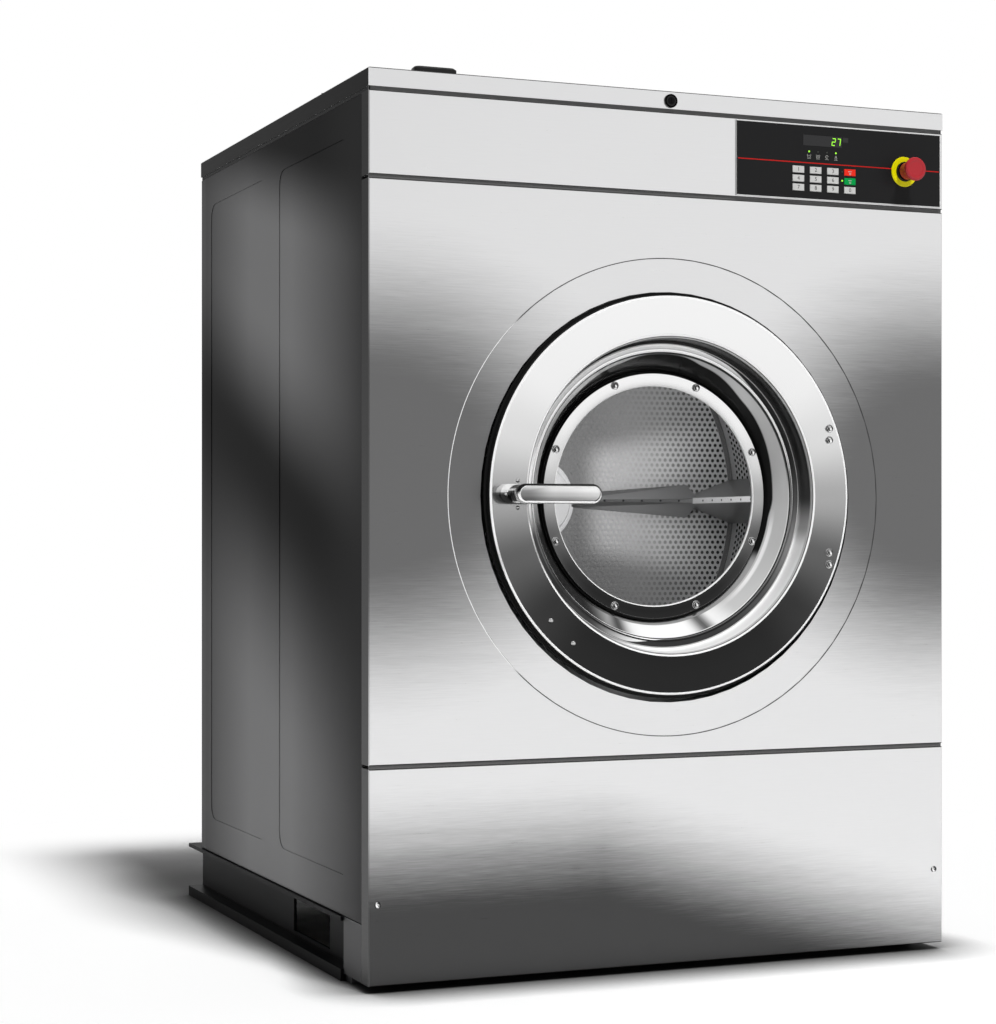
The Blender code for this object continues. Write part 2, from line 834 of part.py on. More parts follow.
def make_dispenser_box(looks):
    top = cover_top - sheet - touch
    low = (lid_centre - box_width / 2, deep(box_start))
    high = (lid_centre + box_width / 2, deep(box_start + box_length))
    box = tray("dispenser_box", low, high, top - box_height, top, looks["galvanised"], axis="Z",
               wall=box_wall)
    spout_x = lid_centre + box_width / 2 - spout_side_inset
    spout_y = deep(box_start + box_length / 2)
    nearest = abs(spout_x) - spout_radius
    seat = door_height + sqrt(tub_radius ** 2 - nearest ** 2) + touch
    pipe = rod("dispenser_box_pipe", spout_radius, seat, top - box_height + box_wall / 2,
               (spout_x, spout_y), looks["galvanised"], tiny_steps, axis="Z")
    join(box, pipe)


def key_places():
    """Name, centre and finish of each key, row by row."""
    labels = ["1", "2", "3", "stop", "4", "5", "6", "start", "7", "8", "9", "0"]
    finishes = {"stop": "key_stop", "start": "key_start"}
    places = []
    for row in range(key_rows):
        for column in range(key_columns):
            label = labels[row * key_columns + column]
            x = key_left + key_width / 2 + column * key_column_pitch
            z = control_top - key_below_top - row * key_row_pitch
            places.append((f"key_{label}", (x, z), finishes.get(label, "key")))
    return places


def make_keeper(looks):
    """Hook on the control panel that the cover lock's tongue turns under."""
    under = cover_top - lock_below_top + lock_tongue_width / 2 + touch
    post = -(lock_tongue_reach + keeper_post_gap)
    middle = deep(lock_barrel_length + lock_tongue_thickness / 2)
    outline = [(post - sheet, control_top - sheet / 2), (post, control_top - sheet / 2), (post, under),
               (post + keeper_arm_overlap, under), (post + keeper_arm_overlap, under + sheet),
               (post - sheet, under + sheet)]
    return prism("control_panel_keeper", outline, middle - keeper_depth / 2, middle + keeper_depth / 2,
                 looks["steel"])


def make_controls(looks):
    panel = tray("control_panel", (-half_width, control_bottom), (half_width, control_top), deep(0),
                 deep(return_depth), looks["steel"])
    join(panel, make_keeper(looks))
    keys = key_places()
    half_key = (key_width / 2, key_height / 2)
    first, last = keys[0][1], keys[-1][1]
    margin = lip + panel_cutout_margin
    key_window = block("control_panel_key_window",
                       (first[0] - half_key[0] - margin, deep(-overrun), last[1] - half_key[1] - margin),
                       (last[0] + half_key[0] + margin, deep(overrun), first[1] + half_key[1] + margin),
                       looks["steel"])
    window_centre = (window_left + window_width / 2, control_top - window_below_top)
    display_window = block("control_panel_display_window",
                           (window_left - margin, deep(-overrun), window_centre[1] - window_height / 2 - margin),
                           (window_left + window_width + margin, deep(overrun),
                            window_centre[1] + window_height / 2 + margin), looks["steel"])
    stop_place = (stop_centre, control_top - stop_below_top)
    stop_hole = rod("control_panel_stop_hole", stop_body_radius + key_gap, deep(-overrun), deep(overrun),
                    stop_place, looks["steel"])
    cut(panel, key_window, display_window, stop_hole)
    overlay = block("control_overlay",
                    (overlay_left, deep(overlay_front), control_bottom + overlay_margin),
                    (half_width - overlay_right_margin, deep(-touch), control_top - overlay_margin),
                    looks["overlay"])
    for name, (x, z), _ in keys:
        hole = block(f"overlay_hole_{name}",
                     (x - half_key[0] - key_gap, deep(-overrun), z - half_key[1] - key_gap),
                     (x + half_key[0] + key_gap, deep(overrun), z + half_key[1] + key_gap), looks["overlay"])
        cut(overlay, hole)
    hole = block("overlay_display_hole",
                 (window_left - key_gap, deep(-overrun), window_centre[1] - window_height / 2 - key_gap),
                 (window_left + window_width + key_gap, deep(overrun),
                  window_centre[1] + window_height / 2 + key_gap), looks["overlay"])
    stop_clearance = rod("overlay_stop_hole", stop_body_radius + key_gap, deep(-overrun), deep(overrun),
                         stop_place, looks["overlay"])
    cut(overlay, hole, stop_clearance)
    half = (window_width / 2, window_height / 2)
    stepped_block("display_window", window_centre,
                  [(overlay_front - window_proud, *half), (0, *half), (0, half[0] + lip, half[1] + lip),
                   (lip_thickness, half[0] + lip, half[1] + lip)], looks["overlay"])
    for name, centre, finish in keys:
        face = overlay_front - key_proud
        key = stepped_block(name, centre,
                            [(face, half_key[0] - key_edge, half_key[1] - key_edge),
                             (face + key_edge, *half_key), (0, *half_key),
                             (0, half_key[0] + lip, half_key[1] + lip),
                             (lip_thickness, half_key[0] + lip, half_key[1] + lip)], looks[finish])
        carry(pivot(f"{name}_pivot", (centre[0], deep(0), centre[1])), key)
    make_stop_button(stop_place, looks)


def make_stop_button(place, looks):
    seat = overlay_front - touch
    face = seat - stop_ring_thickness
    behind = sheet + touch
    collar_profile = [(stop_bore_radius, -stop_neck_reach), (stop_neck_radius, -stop_neck_reach),
                      (stop_neck_radius, face), (stop_ring_radius, face), (stop_ring_radius, seat),
                      (stop_body_radius, seat), (stop_body_radius, behind), (stop_nut_radius, behind),
                      (stop_nut_radius, behind + stop_nut_thickness),
                      (stop_body_radius, behind + stop_nut_thickness), (stop_body_radius, stop_body_depth),
                      (stop_bore_radius, stop_body_depth)]
    turned("estop_collar", [(r, deep(d)) for r, d in collar_profile], place, looks["yellow"], small_steps)
    reach = stop_plunger_reach
    plunger_profile = [(0, -reach), (stop_sleeve_radius, -reach), (stop_sleeve_radius, -stop_sleeve_start),
                       (stop_sleeve_bore, -stop_sleeve_start), (stop_sleeve_bore, stop_sleeve_web - reach),
                       (stop_stem_radius, stop_sleeve_web - reach),
                       (stop_stem_radius, stop_body_depth - stop_neck_reach / 2),
                       (0, stop_body_depth - stop_neck_reach / 2)]
    plunger = turned("estop_plunger", [(r, deep(d)) for r, d in plunger_profile], place, looks["red"],
                     small_steps, closed=False)
    back = -(reach + touch)
    head_profile = [(0, -stop_head_reach), (stop_head_radius - 2 * stop_head_edge, -stop_head_reach),
                    (stop_head_radius - stop_head_edge / 2, stop_head_edge / 2 - stop_head_reach),
                    (stop_head_radius, stop_head_edge - stop_head_reach),
                    (stop_head_radius, back - stop_head_edge / 2), (stop_sleeve_radius, back), (0, back)]
    head = turned("estop_head", [(r, deep(d)) for r, d in head_profile], place, looks["red"], small_steps,
                  closed=False)
    slide = pivot("estop_slide_pivot", (place[0], deep(0), place[1]))
    twist = pivot("estop_twist_pivot", (place[0], deep(0), place[1]))
    carry(slide, plunger)
    carry(twist, head)


def door_profile():
    """Cross-section of the pressed door ring, front skin inwards, then back skin outwards."""
    plate_back = door_sheet - door_proud
    return [
        (door_radius, -door_rim_back), (door_radius, rim_edge - door_proud),
        (door_radius - rim_edge / 3, rim_edge / 3 - door_proud), (door_radius - rim_edge, -door_proud),
        (annulus_inner_radius, -door_proud), (annulus_inner_radius - bead, bead / 2 - door_proud),
        (annulus_inner_radius - 2 * bead, 2 * bead - door_proud), (step_radius, step_depth - bead),
        (step_radius - bead / 2, step_depth), (ledge_inner_radius, step_depth),
        (ledge_inner_radius - bead, step_depth + 2 * bead), (bowl_wall_radius, bowl_wall_depth),
        (bowl_wall_radius - bead / 2, bowl_floor_depth), (lip_radius, bowl_floor_depth),
        (lip_radius, bowl_floor_depth + door_sheet), (bowl_wall_radius + bead / 2, bowl_floor_depth + door_sheet),
        (bowl_wall_radius + door_sheet, bowl_wall_depth), (ledge_inner_radius - bead / 2, step_depth + 3 * bead),
        (ledge_inner_radius + bead / 2, step_depth + door_sheet), (step_radius - bead / 2, step_depth + door_sheet),
        (step_radius + bead, step_depth - bead), (annulus_inner_radius - bead / 2, 2 * bead - door_proud),
        (annulus_inner_radius + bead / 2, plate_back), (door_radius - rim_wall - bead / 3, plate_back),
        (door_radius - rim_wall, plate_back + bead / 3), (door_radius - rim_wall, -door_rim_back)]


def make_door(looks):
    centre = (0, door_height)
    hinge = pivot("door_pivot", (hinge_offset, deep(hinge_depth), door_height))
    ring = turned("door_ring", [(r, deep(d)) for r, d in door_profile()], centre, looks["chrome"], fine_steps)
    notch = block("door_ring_hinge_notch",
                  (rim_notch_inner, deep(door_sheet - door_proud + touch), door_height - rim_notch_half_height),
                  (door_radius + overrun, deep(overrun), door_height + rim_notch_half_height), looks["chrome"])
    bore = rod("door_ring_handle_bore", handle_bore_radius, deep(-door_proud - overrun), deep(overrun),
               (handle_offset, door_height), looks["chrome"], small_steps)
    cut(ring, notch, bore)
    nut_heights = (-hinge_nut_far, -hinge_nut_near, hinge_nut_near, hinge_nut_far)
    for k, height in enumerate(nut_heights, 1):
        nut = acorn_nut(f"hinge_nut_{k}", (hinge_nut_offset, door_height + height), -door_proud, looks["chrome"])
        join(ring, nut)
        carry(hinge, nut)
    glass_back = bowl_floor_depth - touch
    glass_front = glass_back - glass_thickness
    glass = rod("door_glass", glass_radius, deep(glass_front), deep(glass_back), centre, looks["glass"],
                mid_steps)
    clamp_back = glass_front - touch
    clamp_front = clamp_back - clamp_thickness
    clamp_edge = clamp_thickness / 4
    clamp_profile = [(clamp_inner_radius, clamp_back), (clamp_inner_radius, clamp_front + clamp_edge),
                     (clamp_inner_radius + clamp_edge, clamp_front), (clamp_radius - clamp_edge, clamp_front),
                     (clamp_radius, clamp_front + clamp_edge), (clamp_radius, clamp_back)]
    clamp = turned("glass_clamp", [(r, deep(d)) for r, d in clamp_profile], centre, looks["chrome"], fine_steps)
    for k in range(clamp_nut_count):
        angle = 2 * pi * (k + 0.5) / clamp_nut_count
        place = (clamp_nut_circle * cos(angle), door_height + clamp_nut_circle * sin(angle))
        nut = acorn_nut(f"clamp_nut_{k + 1}", place, clamp_front, looks["chrome"])
        join(clamp, nut)
        carry(hinge, nut)
    leaf = make_hinge_leaf(looks)
    base = make_handle_base(looks)
    carry(hinge, ring, notch, bore, glass, clamp, leaf, base)


def make_hinge_leaf(looks):
    back = door_sheet - door_proud + touch
    leaf = block("hinge_leaf", (leaf_inner, deep(back), door_height - leaf_half_height),
                 (leaf_outer, deep(back + leaf_thickness), door_height + leaf_half_height), looks["chrome"])
    tab = block("hinge_leaf_tab", (leaf_outer - leaf_thickness, deep(back), door_height - hinge_leaf_half_height),
                (hinge_offset, deep(back + leaf_thickness), door_height + hinge_leaf_half_height),
                looks["chrome"])
    barrel = rod("hinge_leaf_barrel", hinge_barrel_radius, door_height - hinge_leaf_half_height,
                 door_height + hinge_leaf_half_height, (hinge_offset, deep(hinge_depth)), looks["chrome"],
                 small_steps, axis="Z")
    bore = rod("hinge_leaf_bore", hinge_bore_radius, door_height - leaf_half_height,
               door_height + leaf_half_height, (hinge_offset, deep(hinge_depth)), looks["chrome"],
               small_steps, axis="Z")
    join(leaf, tab, barrel)
    return cut(leaf, bore)


def strip(route, half):
    """Outline of a bar that follows a route of points, with mitred corners."""
    heads = [(b - a).normalized() for a, b in zip(route, route[1:])]
    sides = [Vector((-head[1], head[0])) for head in heads]
    left, right = [], []
    for k, point in enumerate(route):
        before = sides[max(k - 1, 0)]
        after = sides[min(k, len(sides) - 1)]
        mitre = (before + after).normalized()
        offset = mitre * (half / mitre.dot(after))
        left.append(tuple(point + offset))
        right.append(tuple(point - offset))
    return left + right[::-1]


def make_hinge_bracket(looks):
    """Fixed half of the hinge: a plate on the tub front, two cranked arms and the pin."""
    plate_back = tub_front_depth - touch
    plate_front = plate_back - hinge_plate_thickness
    half = arm_width / 2
    bracket = block("hinge_bracket",
                    (arm_elbow - hinge_plate_width / 2, deep(plate_front), door_height - hinge_plate_height / 2),
                    (arm_elbow + hinge_plate_width / 2, deep(plate_back), door_height + hinge_plate_height / 2),
                    looks["black"])
    route = [Vector((hinge_offset, deep(hinge_depth))), Vector((arm_elbow, deep(arm_elbow_depth))),
             Vector((arm_elbow, deep(plate_front) + half))]
    outline = strip(route, half)
    start = hinge_leaf_half_height + hinge_knuckle_gap
    for sign, label in ((-1, "low"), (1, "high")):
        near = door_height + sign * start
        far = near + sign * hinge_arm_height
        arm = prism(f"hinge_bracket_arm_{label}", outline, min(near, far), max(near, far), looks["black"], axis="Z")
        knuckle = rod(f"hinge_bracket_knuckle_{label}", hinge_barrel_radius, min(near, far), max(near, far),
                      (hinge_offset, deep(hinge_depth)), looks["black"], small_steps, axis="Z")
        join(bracket, arm, knuckle)
    pin = rod("hinge_bracket_pin", hinge_pin_radius, door_height - start - hinge_arm_height / 2,
              door_height + start + hinge_arm_height / 2, (hinge_offset, deep(hinge_depth)), looks["black"],
              small_steps, axis="Z")
    join(bracket, pin)


def make_handle_base(looks):
    half = handle_base_height / 2
    left = handle_offset - handle_base_overhang
    right = left + handle_base_length
    arc_steps = 8
    outline = [(right, door_height - half), (right, door_height + half)]
    for k in range(arc_steps + 1):
        angle = pi / 2 + pi * k / arc_steps
        outline.append((left + half + half * cos(angle), door_height + half * sin(angle)))
    back = -(door_proud + touch)
    base = prism("handle_base", outline, deep(back - handle_base_thickness), deep(back), looks["chrome"])
    bore = rod("handle_base_bore", handle_bore_radius, deep(back - handle_base_thickness - overrun),
               deep(back + overrun), (handle_offset, door_height), looks["chrome"], small_steps)
    return cut(base, bore)


def stadium(left, right, half, inset=0.0, arc_steps=8):
    """Bar outline about the door's height with two round ends."""
    radius = half - inset
    points = []
    for centre, start in ((right - half, -pi / 2), (left + half, pi / 2)):
        for k in range(arc_steps + 1):
            angle = start + pi * k / arc_steps
            points.append((centre + radius * cos(angle), door_height + radius * sin(angle)))
    return points


def make_handle(looks):
    centre = (handle_offset, door_height)
    collar_back = -(door_proud + handle_base_thickness + 2 * touch)
    collar_front = -(handle_grip_start + fold)
    profile = [(0, collar_front), (handle_collar_radius, collar_front), (handle_collar_radius, collar_back),
               (handle_shaft_radius, collar_back), (handle_shaft_radius, handle_shaft_end), (0, handle_shaft_end)]
    handle = turned("door_handle", [(r, deep(d)) for r, d in profile], centre, looks["chrome"], small_steps,
                    closed=False)
    left = handle_offset - handle_grip_lead
    right = left + handle_grip_length
    half = handle_grip_height / 2
    loops = [stations("Y", stadium(left, right, half, handle_edge), deep(-handle_proud)),
             stations("Y", stadium(left, right, half), deep(handle_edge - handle_proud)),
             stations("Y", stadium(left, right, half), deep(-handle_grip_start - handle_edge)),
             stations("Y", stadium(left, right, half, handle_edge), deep(-handle_grip_start))]
    grip = lofted("door_handle_grip", loops, looks["chrome"])
    join(handle, grip)
    cam_outline = [(handle_offset, door_height - latch_width / 2),
                   (handle_offset, door_height + latch_width / 2),
                   (handle_offset - latch_reach, door_height + latch_width / 2),
                   (handle_offset - latch_reach, door_height - latch_width / 2)]
    cam = prism("latch_cam", cam_outline, deep(latch_start), deep(latch_start + latch_thickness), looks["black"])
    hub = rod("latch_cam_hub", latch_hub_radius, deep(latch_start), deep(latch_start + latch_thickness), centre,
              looks["black"], small_steps)
    bore = rod("latch_cam_bore", latch_bore_radius, deep(latch_start - overrun),
               deep(latch_start + latch_thickness + overrun), centre, looks["black"], small_steps)
    join(cam, hub)
    cut(cam, bore)
    carry(pivot("handle_pivot", (handle_offset, deep(0), door_height)), handle, grip, cam, hub, bore)


def make_door_lock(looks):
    """Closed switch box on the tub front, just behind the latch cam."""
    block("door_lock", (-lock_box_outer, deep(lock_box_start), door_height - lock_box_height / 2),
          (-lock_box_outer + lock_box_width, deep(tub_front_depth - touch),
           door_height + lock_box_height / 2), looks["plastic"])


def make_tub(looks):
    centre = (0, door_height)
    plate_back = tub_front_depth + tub_wall
    outer_collar = collar_radius + collar_wall
    front_profile = [(collar_radius, collar_start), (outer_collar, collar_start), (outer_collar, tub_front_depth),
                     (tub_radius, tub_front_depth), (tub_radius, plate_back), (collar_radius, plate_back)]
    turned("tub_front", [(r, deep(d)) for r, d in front_profile], centre, looks["drum"], fine_steps)
    start = plate_back + touch
    back = tub_back_depth
    shell_profile = [(tub_radius, start), (tub_radius, back), (tub_rear_hole, back),
                     (tub_rear_hole, back - tub_wall), (tub_radius - tub_wall, back - tub_wall),
                     (tub_radius - tub_wall, start)]
    turned("tub_shell", [(r, deep(d)) for r, d in shell_profile], centre, looks["drum"], fine_steps)
    seal_front = step_depth + door_sheet + touch
    seal_back = collar_start - touch
    lip_depth = (seal_back - seal_front) / 2
    gasket_profile = [(gasket_inner_radius, seal_front + lip_depth), (gasket_inner_radius, seal_front),
                      (gasket_outer_radius - (gasket_outer_radius - gasket_inner_radius) / 3, seal_front),
                      (gasket_outer_radius, seal_front + lip_depth), (gasket_outer_radius, seal_back),
                      (gasket_inner_radius, seal_back)]
    turned("door_gasket", [(r, deep(d)) for r, d in gasket_profile], centre, looks["rubber"], fine_steps)


def make_drum(looks):
    axle = pivot("drum_pivot", (0, deep(0), door_height))
    centre = (0, door_height)
    outer = drum_radius + drum_wall
    start = drum_front_depth + drum_front_thickness + touch
    end = drum_back_depth - touch
    shell = tube("drum_shell", outer, drum_radius, deep(start), deep(end), centre, looks["drum"], fine_steps)
    lip_back = drum_front_depth + drum_mouth_lip
    front_profile = [(drum_mouth_radius, lip_back), (drum_mouth_radius, drum_front_depth),
                     (outer, drum_front_depth), (outer, drum_front_depth + drum_front_thickness),
                     (drum_mouth_radius + drum_front_thickness, drum_front_depth + drum_front_thickness),
                     (drum_mouth_radius + drum_front_thickness, lip_back)]
    ring = turned("drum_front", [(r, deep(d)) for r, d in front_profile], centre, looks["drum"], fine_steps)
    back_front = drum_back_depth
    back_end = drum_back_end
    cap_front = back_front - hub_cap_height
    back_profile = [(0, cap_front), (hub_cap_radius - hub_cap_edge, cap_front),
                    (hub_cap_radius, cap_front + hub_cap_edge), (hub_cap_radius, back_front),
                    (outer, back_front), (outer, back_end), (0, back_end)]
    back = turned("drum_back", [(r, deep(d)) for r, d in back_profile], centre, looks["drum"], fine_steps,
                  closed=False)
    pieces = [shell, ring, back]
    for k in range(lifter_count):
        pieces += make_lifter(k, start + lifter_front_gap, back_front - touch, looks)
    pieces += make_shaft(back_end + touch, looks)
    carry(axle, *pieces)


def make_lifter(index, near, far, looks):
    """Wedge along the drum's wall, with a rib that tapers down the back plate to the hub."""
    turn = 2 * pi * index / lifter_count
    wall = drum_radius * cos(atan2(lifter_base / 2, drum_radius)) - touch - fold
    crest = wall - lifter_height
    across = Vector((-sin(turn), cos(turn)))
    outward = Vector((cos(turn), sin(turn)))

    def place(radius, offset, depth):
        flat = outward * radius + across * offset
        return (flat[0], deep(depth), door_height + flat[1])

    half_base, half_crest = lifter_base / 2, lifter_crest / 2
    section = [(wall, -half_base), (crest, -half_crest), (crest, half_crest), (wall, half_base)]
    loops = [[place(r, s, depth) for r, s in section] for depth in (near, far)]
    lifter = lofted(f"lifter_{index + 1}", loops, looks["drum"])
    inner_half = rib_inner_base / 2
    sink = far - fold
    rib_loops = []
    for radius, half, height in ((rib_inner_radius, inner_half, rib_inner_height),
                                 (crest + overrun, half_base * crest / wall, rib_outer_height)):
        crown = half_crest * half / half_base
        rib_loops.append([place(radius, -half, far), place(radius, half, far), place(radius, crown, far - height),
                          place(radius, -crown, far - height)])
    rib = lofted(f"lifter_{index + 1}_rib", rib_loops, looks["drum"])
    join(lifter, rib)
    return [lifter, rib]


def make_shaft(start, looks):
    centre = (0, door_height)
    flange_end = start + shaft_flange_thickness
    boss_end = tub_back_depth + touch + a_frame_thickness / 4
    shaft_end = pulley_depth + pulley_width + pulley_hub_overhang
    profile = [(0, start), (shaft_flange_radius, start), (shaft_flange_radius, flange_end),
               (shaft_boss_radius, flange_end + shaft_flange_thickness / 2), (shaft_boss_radius, boss_end),
               (shaft_radius, boss_end), (shaft_radius, shaft_end), (0, shaft_end)]
    shaft = turned("drum_shaft", [(r, deep(d)) for r, d in profile], centre, looks["iron"], mid_steps,
                   closed=False)
    pulley, windows = make_pulley(looks)
    return [shaft, pulley, *windows]


def grooved_rim(groove_radius, bore, hub_radius, rim, web):
    """Pulley section: grooved rim, web and hub, from the bore's front corner round to its back."""
    front_face = pulley_depth
    back_face = pulley_depth + pulley_width
    lip_radius_out = groove_radius + pulley_lip
    middle = (front_face + back_face) / 2
    hub_front = front_face - pulley_hub_overhang
    hub_back = back_face + pulley_hub_overhang
    return [(bore, hub_front), (hub_radius, hub_front), (hub_radius, middle - web / 2),
            (groove_radius - rim, middle - web / 2), (groove_radius - rim, front_face),
            (lip_radius_out, front_face), (lip_radius_out, front_face + pulley_lip_width),
            (groove_radius, front_face + pulley_lip_width), (groove_radius, back_face - pulley_lip_width),
            (lip_radius_out, back_face - pulley_lip_width), (lip_radius_out, back_face),
            (groove_radius - rim, back_face), (groove_radius - rim, middle + web / 2),
            (hub_radius, middle + web / 2), (hub_radius, hub_back), (bore, hub_back)]


def make_pulley(looks):
    centre = (0, door_height)
    profile = grooved_rim(pulley_groove_radius, shaft_radius + touch, pulley_hub_radius, pulley_rim, pulley_web)
    pulley = turned("drum_pulley", [(r, deep(d)) for r, d in profile], centre, looks["iron"], mid_steps)
    windows = []
    for k in range(pulley_window_count):
        angle = 2 * pi * k / pulley_window_count
        place = (pulley_window_circle * cos(angle), door_height + pulley_window_circle * sin(angle))
        windows.append(rod(f"drum_pulley_window_{k + 1}", pulley_window_radius, deep(pulley_depth),
                           deep(pulley_depth + pulley_width), place, looks["iron"], tiny_steps))
    cut(pulley, *windows)
    return pulley, windows


def make_bearings(looks):
    centre = (0, door_height)
    frame_back = a_frame_depth + a_frame_thickness
    flange_front = frame_back + touch
    start = a_frame_depth + touch
    end = start + housing_length
    seat_radius = bearing_radius + touch
    front_shoulder = start + bearing_setback + bearing_width + touch
    rear_shoulder = end - bearing_setback - bearing_width - touch
    profile = [(seat_radius, start), (housing_spigot_radius - touch, start),
               (housing_spigot_radius - touch, flange_front), (housing_flange_radius, flange_front),
               (housing_flange_radius, flange_front + housing_flange_thickness),
               (housing_radius, flange_front + housing_flange_thickness), (housing_radius, end),
               (seat_radius, end), (seat_radius, rear_shoulder), (shoulder_radius, rear_shoulder),
               (shoulder_radius, front_shoulder), (seat_radius, front_shoulder)]
    turned("bearing_housing", [(r, deep(d)) for r, d in profile], centre, looks["iron"], mid_steps)
    for name, near in (("bearing_front", start + bearing_setback),
                       ("bearing_rear", end - bearing_setback - bearing_width)):
        tube(name, bearing_radius, bearing_bore, deep(near), deep(near + bearing_width), centre,
             looks["steel"], mid_steps)


def make_a_frame(looks):
    foot = rail_top + touch
    foot_top = foot + a_frame_foot_height
    half_foot = half_width + rail_proud - a_frame_foot_inset
    half_top = a_frame_top_width / 2
    top = door_height + a_frame_top_rise
    outline = [(-half_foot, foot), (half_foot, foot), (half_foot, foot_top), (half_top, top), (-half_top, top),
               (-half_foot, foot_top)]
    frame = prism("a_frame", outline, deep(a_frame_depth), deep(a_frame_depth + a_frame_thickness), looks["black"])
    hole = rod("a_frame_hole", housing_spigot_radius, deep(a_frame_depth - overrun),
               deep(a_frame_depth + a_frame_thickness + overrun), (0, door_height), looks["black"], mid_steps)
    opening_top = door_height - a_frame_opening_top
    slope = (half_foot - half_top) / (top - foot_top)
    wide = half_foot - a_frame_leg_width
    narrow = wide - slope * (opening_top - foot_top)
    opening = prism("a_frame_opening", [(-wide, foot_top), (wide, foot_top), (narrow, opening_top),
                                        (-narrow, opening_top)],
                    deep(a_frame_depth - overrun), deep(a_frame_depth + a_frame_thickness + overrun),
                    looks["black"])
    outlet = rod("a_frame_outlet", drain_radius + outlet_clearance, deep(a_frame_depth - overrun),
                 deep(a_frame_depth + a_frame_thickness + overrun), (drain_offset, drain_height),
                 looks["black"])
    cut(frame, hole, opening, outlet)


def belt_loop(big, small, big_centre, small_centre, depth):
    """Points of an open belt round two circles, with arcs joined by straight runs."""
    across = small_centre[0] - big_centre[0]
    up = small_centre[1] - big_centre[1]
    span = hypot(across, up)
    heading = atan2(up, across)
    spread = acos((big - small) / span)
    points = []
    arcs = ((big, big_centre, heading + spread, heading + 2 * pi - spread, fine_steps * 2 // 3),
            (small, small_centre, heading - spread, heading + spread, small_steps))
    for radius, centre, start, end, steps in arcs:
        for k in range(steps + 1):
            angle = start + (end - start) * k / steps
            points.append((centre[0] + radius * cos(angle), deep(depth), centre[1] + radius * sin(angle)))
    return points


def make_belt(looks):
    near = pulley_depth + pulley_lip_width + belt_side_gap
    far = pulley_depth + pulley_width - pulley_lip_width - belt_side_gap
    inner = belt_clearance
    outer = belt_clearance + belt_thickness
    loops = []
    for gap, depth in ((inner, near), (outer, near), (outer, far), (inner, far)):
        loops.append(belt_loop(pulley_groove_radius + gap, motor_groove_radius + gap, (0, door_height),
                               (motor_offset, motor_height), depth))
    lofted("drive_belt", loops, looks["rubber"], ring=True)


def make_motor(looks):
    centre = (motor_offset, motor_height)
    rear = pulley_depth - pulley_hub_overhang - motor_rear_gap
    start = rear - motor_length
    profile = [(0, start), (motor_bell_radius, start), (motor_radius, start + motor_bell_length),
               (motor_radius, rear - motor_bell_length), (motor_bell_radius, rear), (motor_shaft_bore, rear),
               (motor_shaft_bore, rear - motor_shaft_engagement - touch),
               (0, rear - motor_shaft_engagement - touch)]
    motor = turned("motor", [(r, deep(d)) for r, d in profile], centre, looks["motor"], small_steps, closed=False)
    middle = (start + rear) / 2
    foot_bottom = rail_top + 2 * touch
    foot = block("motor_foot", (motor_offset - motor_foot_width / 2, deep(middle - motor_foot_length / 2), foot_bottom),
                 (motor_offset + motor_foot_width / 2, deep(middle + motor_foot_length / 2),
                  motor_height - motor_radius / 2), looks["motor"])
    box = block("motor_terminal_box",
                (motor_offset + motor_radius / 2, deep(middle - terminal_box / 2), motor_height),
                (motor_offset + motor_radius + terminal_box / 3, deep(middle + terminal_box / 2),
                 motor_height + terminal_box), looks["motor"])
    join(motor, foot, box)
    shaft_start = rear - motor_shaft_engagement
    profile = grooved_rim(motor_groove_radius, 0, motor_groove_radius / 2, motor_groove_radius / 4, pulley_web)
    turned_profile = [(0, shaft_start), (motor_shaft_radius, shaft_start),
                      (motor_shaft_radius, profile[0][1])] + profile[1:]
    pulley = turned("motor_pulley", [(r, deep(d)) for r, d in turned_profile], centre, looks["iron"],
                    small_steps, closed=False)
    carry(pivot("motor_pivot", (motor_offset, deep(0), motor_height)), pulley)


def make_drain(looks):
    nearest = max(abs(drain_offset) - drain_stub_radius, 0)
    stub_top = door_height - sqrt(tub_radius ** 2 - nearest ** 2) - touch
    centre = (drain_offset, deep(drain_depth))
    valve = rod("drain_valve", drain_stub_radius, drain_height, stub_top, centre, looks["plastic"],
                small_steps, axis="Z")
    body_start = drain_depth - drain_body_length / 2
    body_end = drain_depth + drain_body_length / 2
    outlet_end = cabinet_depth + drain_outlet_length
    bore = drain_radius - drain_wall
    bore_start = outlet_end - drain_body_length
    profile = [(0, body_start), (drain_body_radius, body_start), (drain_body_radius, body_end),
               (drain_radius, body_end), (drain_radius, outlet_end), (bore, outlet_end), (bore, bore_start),
               (0, bore_start)]
    body = turned("drain_valve_body", [(r, deep(d)) for r, d in profile], (drain_offset, drain_height),
                  looks["plastic"], small_steps, closed=False)
    join(valve, body)


def build():
    clear_scene()
    looks = make_looks()
    make_base(looks)
    make_side_panel("side_panel_left", -1, looks)
    make_side_panel("side_panel_right", 1, looks)
    make_front_panels(looks)
    make_rear_panel(looks)
    make_water_inlet(looks)
    make_cover(looks)
    make_cover_lock(looks)
    make_lid(looks)
    make_dispenser_box(looks)
    make_controls(looks)
    make_tub(looks)
    make_a_frame(looks)
    make_bearings(looks)
    make_drum(looks)
    make_motor(looks)
    make_belt(looks)
    make_drain(looks)
    make_door(looks)
    make_hinge_bracket(looks)
    make_handle(looks)
    make_door_lock(looks)


build()
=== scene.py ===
"""Looks of the hard mount washer extractor: finishes, fine parts, floor, light and camera."""
from math import acos, cos, hypot, pi, radians, sin, sqrt

import bmesh
import bpy
from mathutils import Matrix, Vector


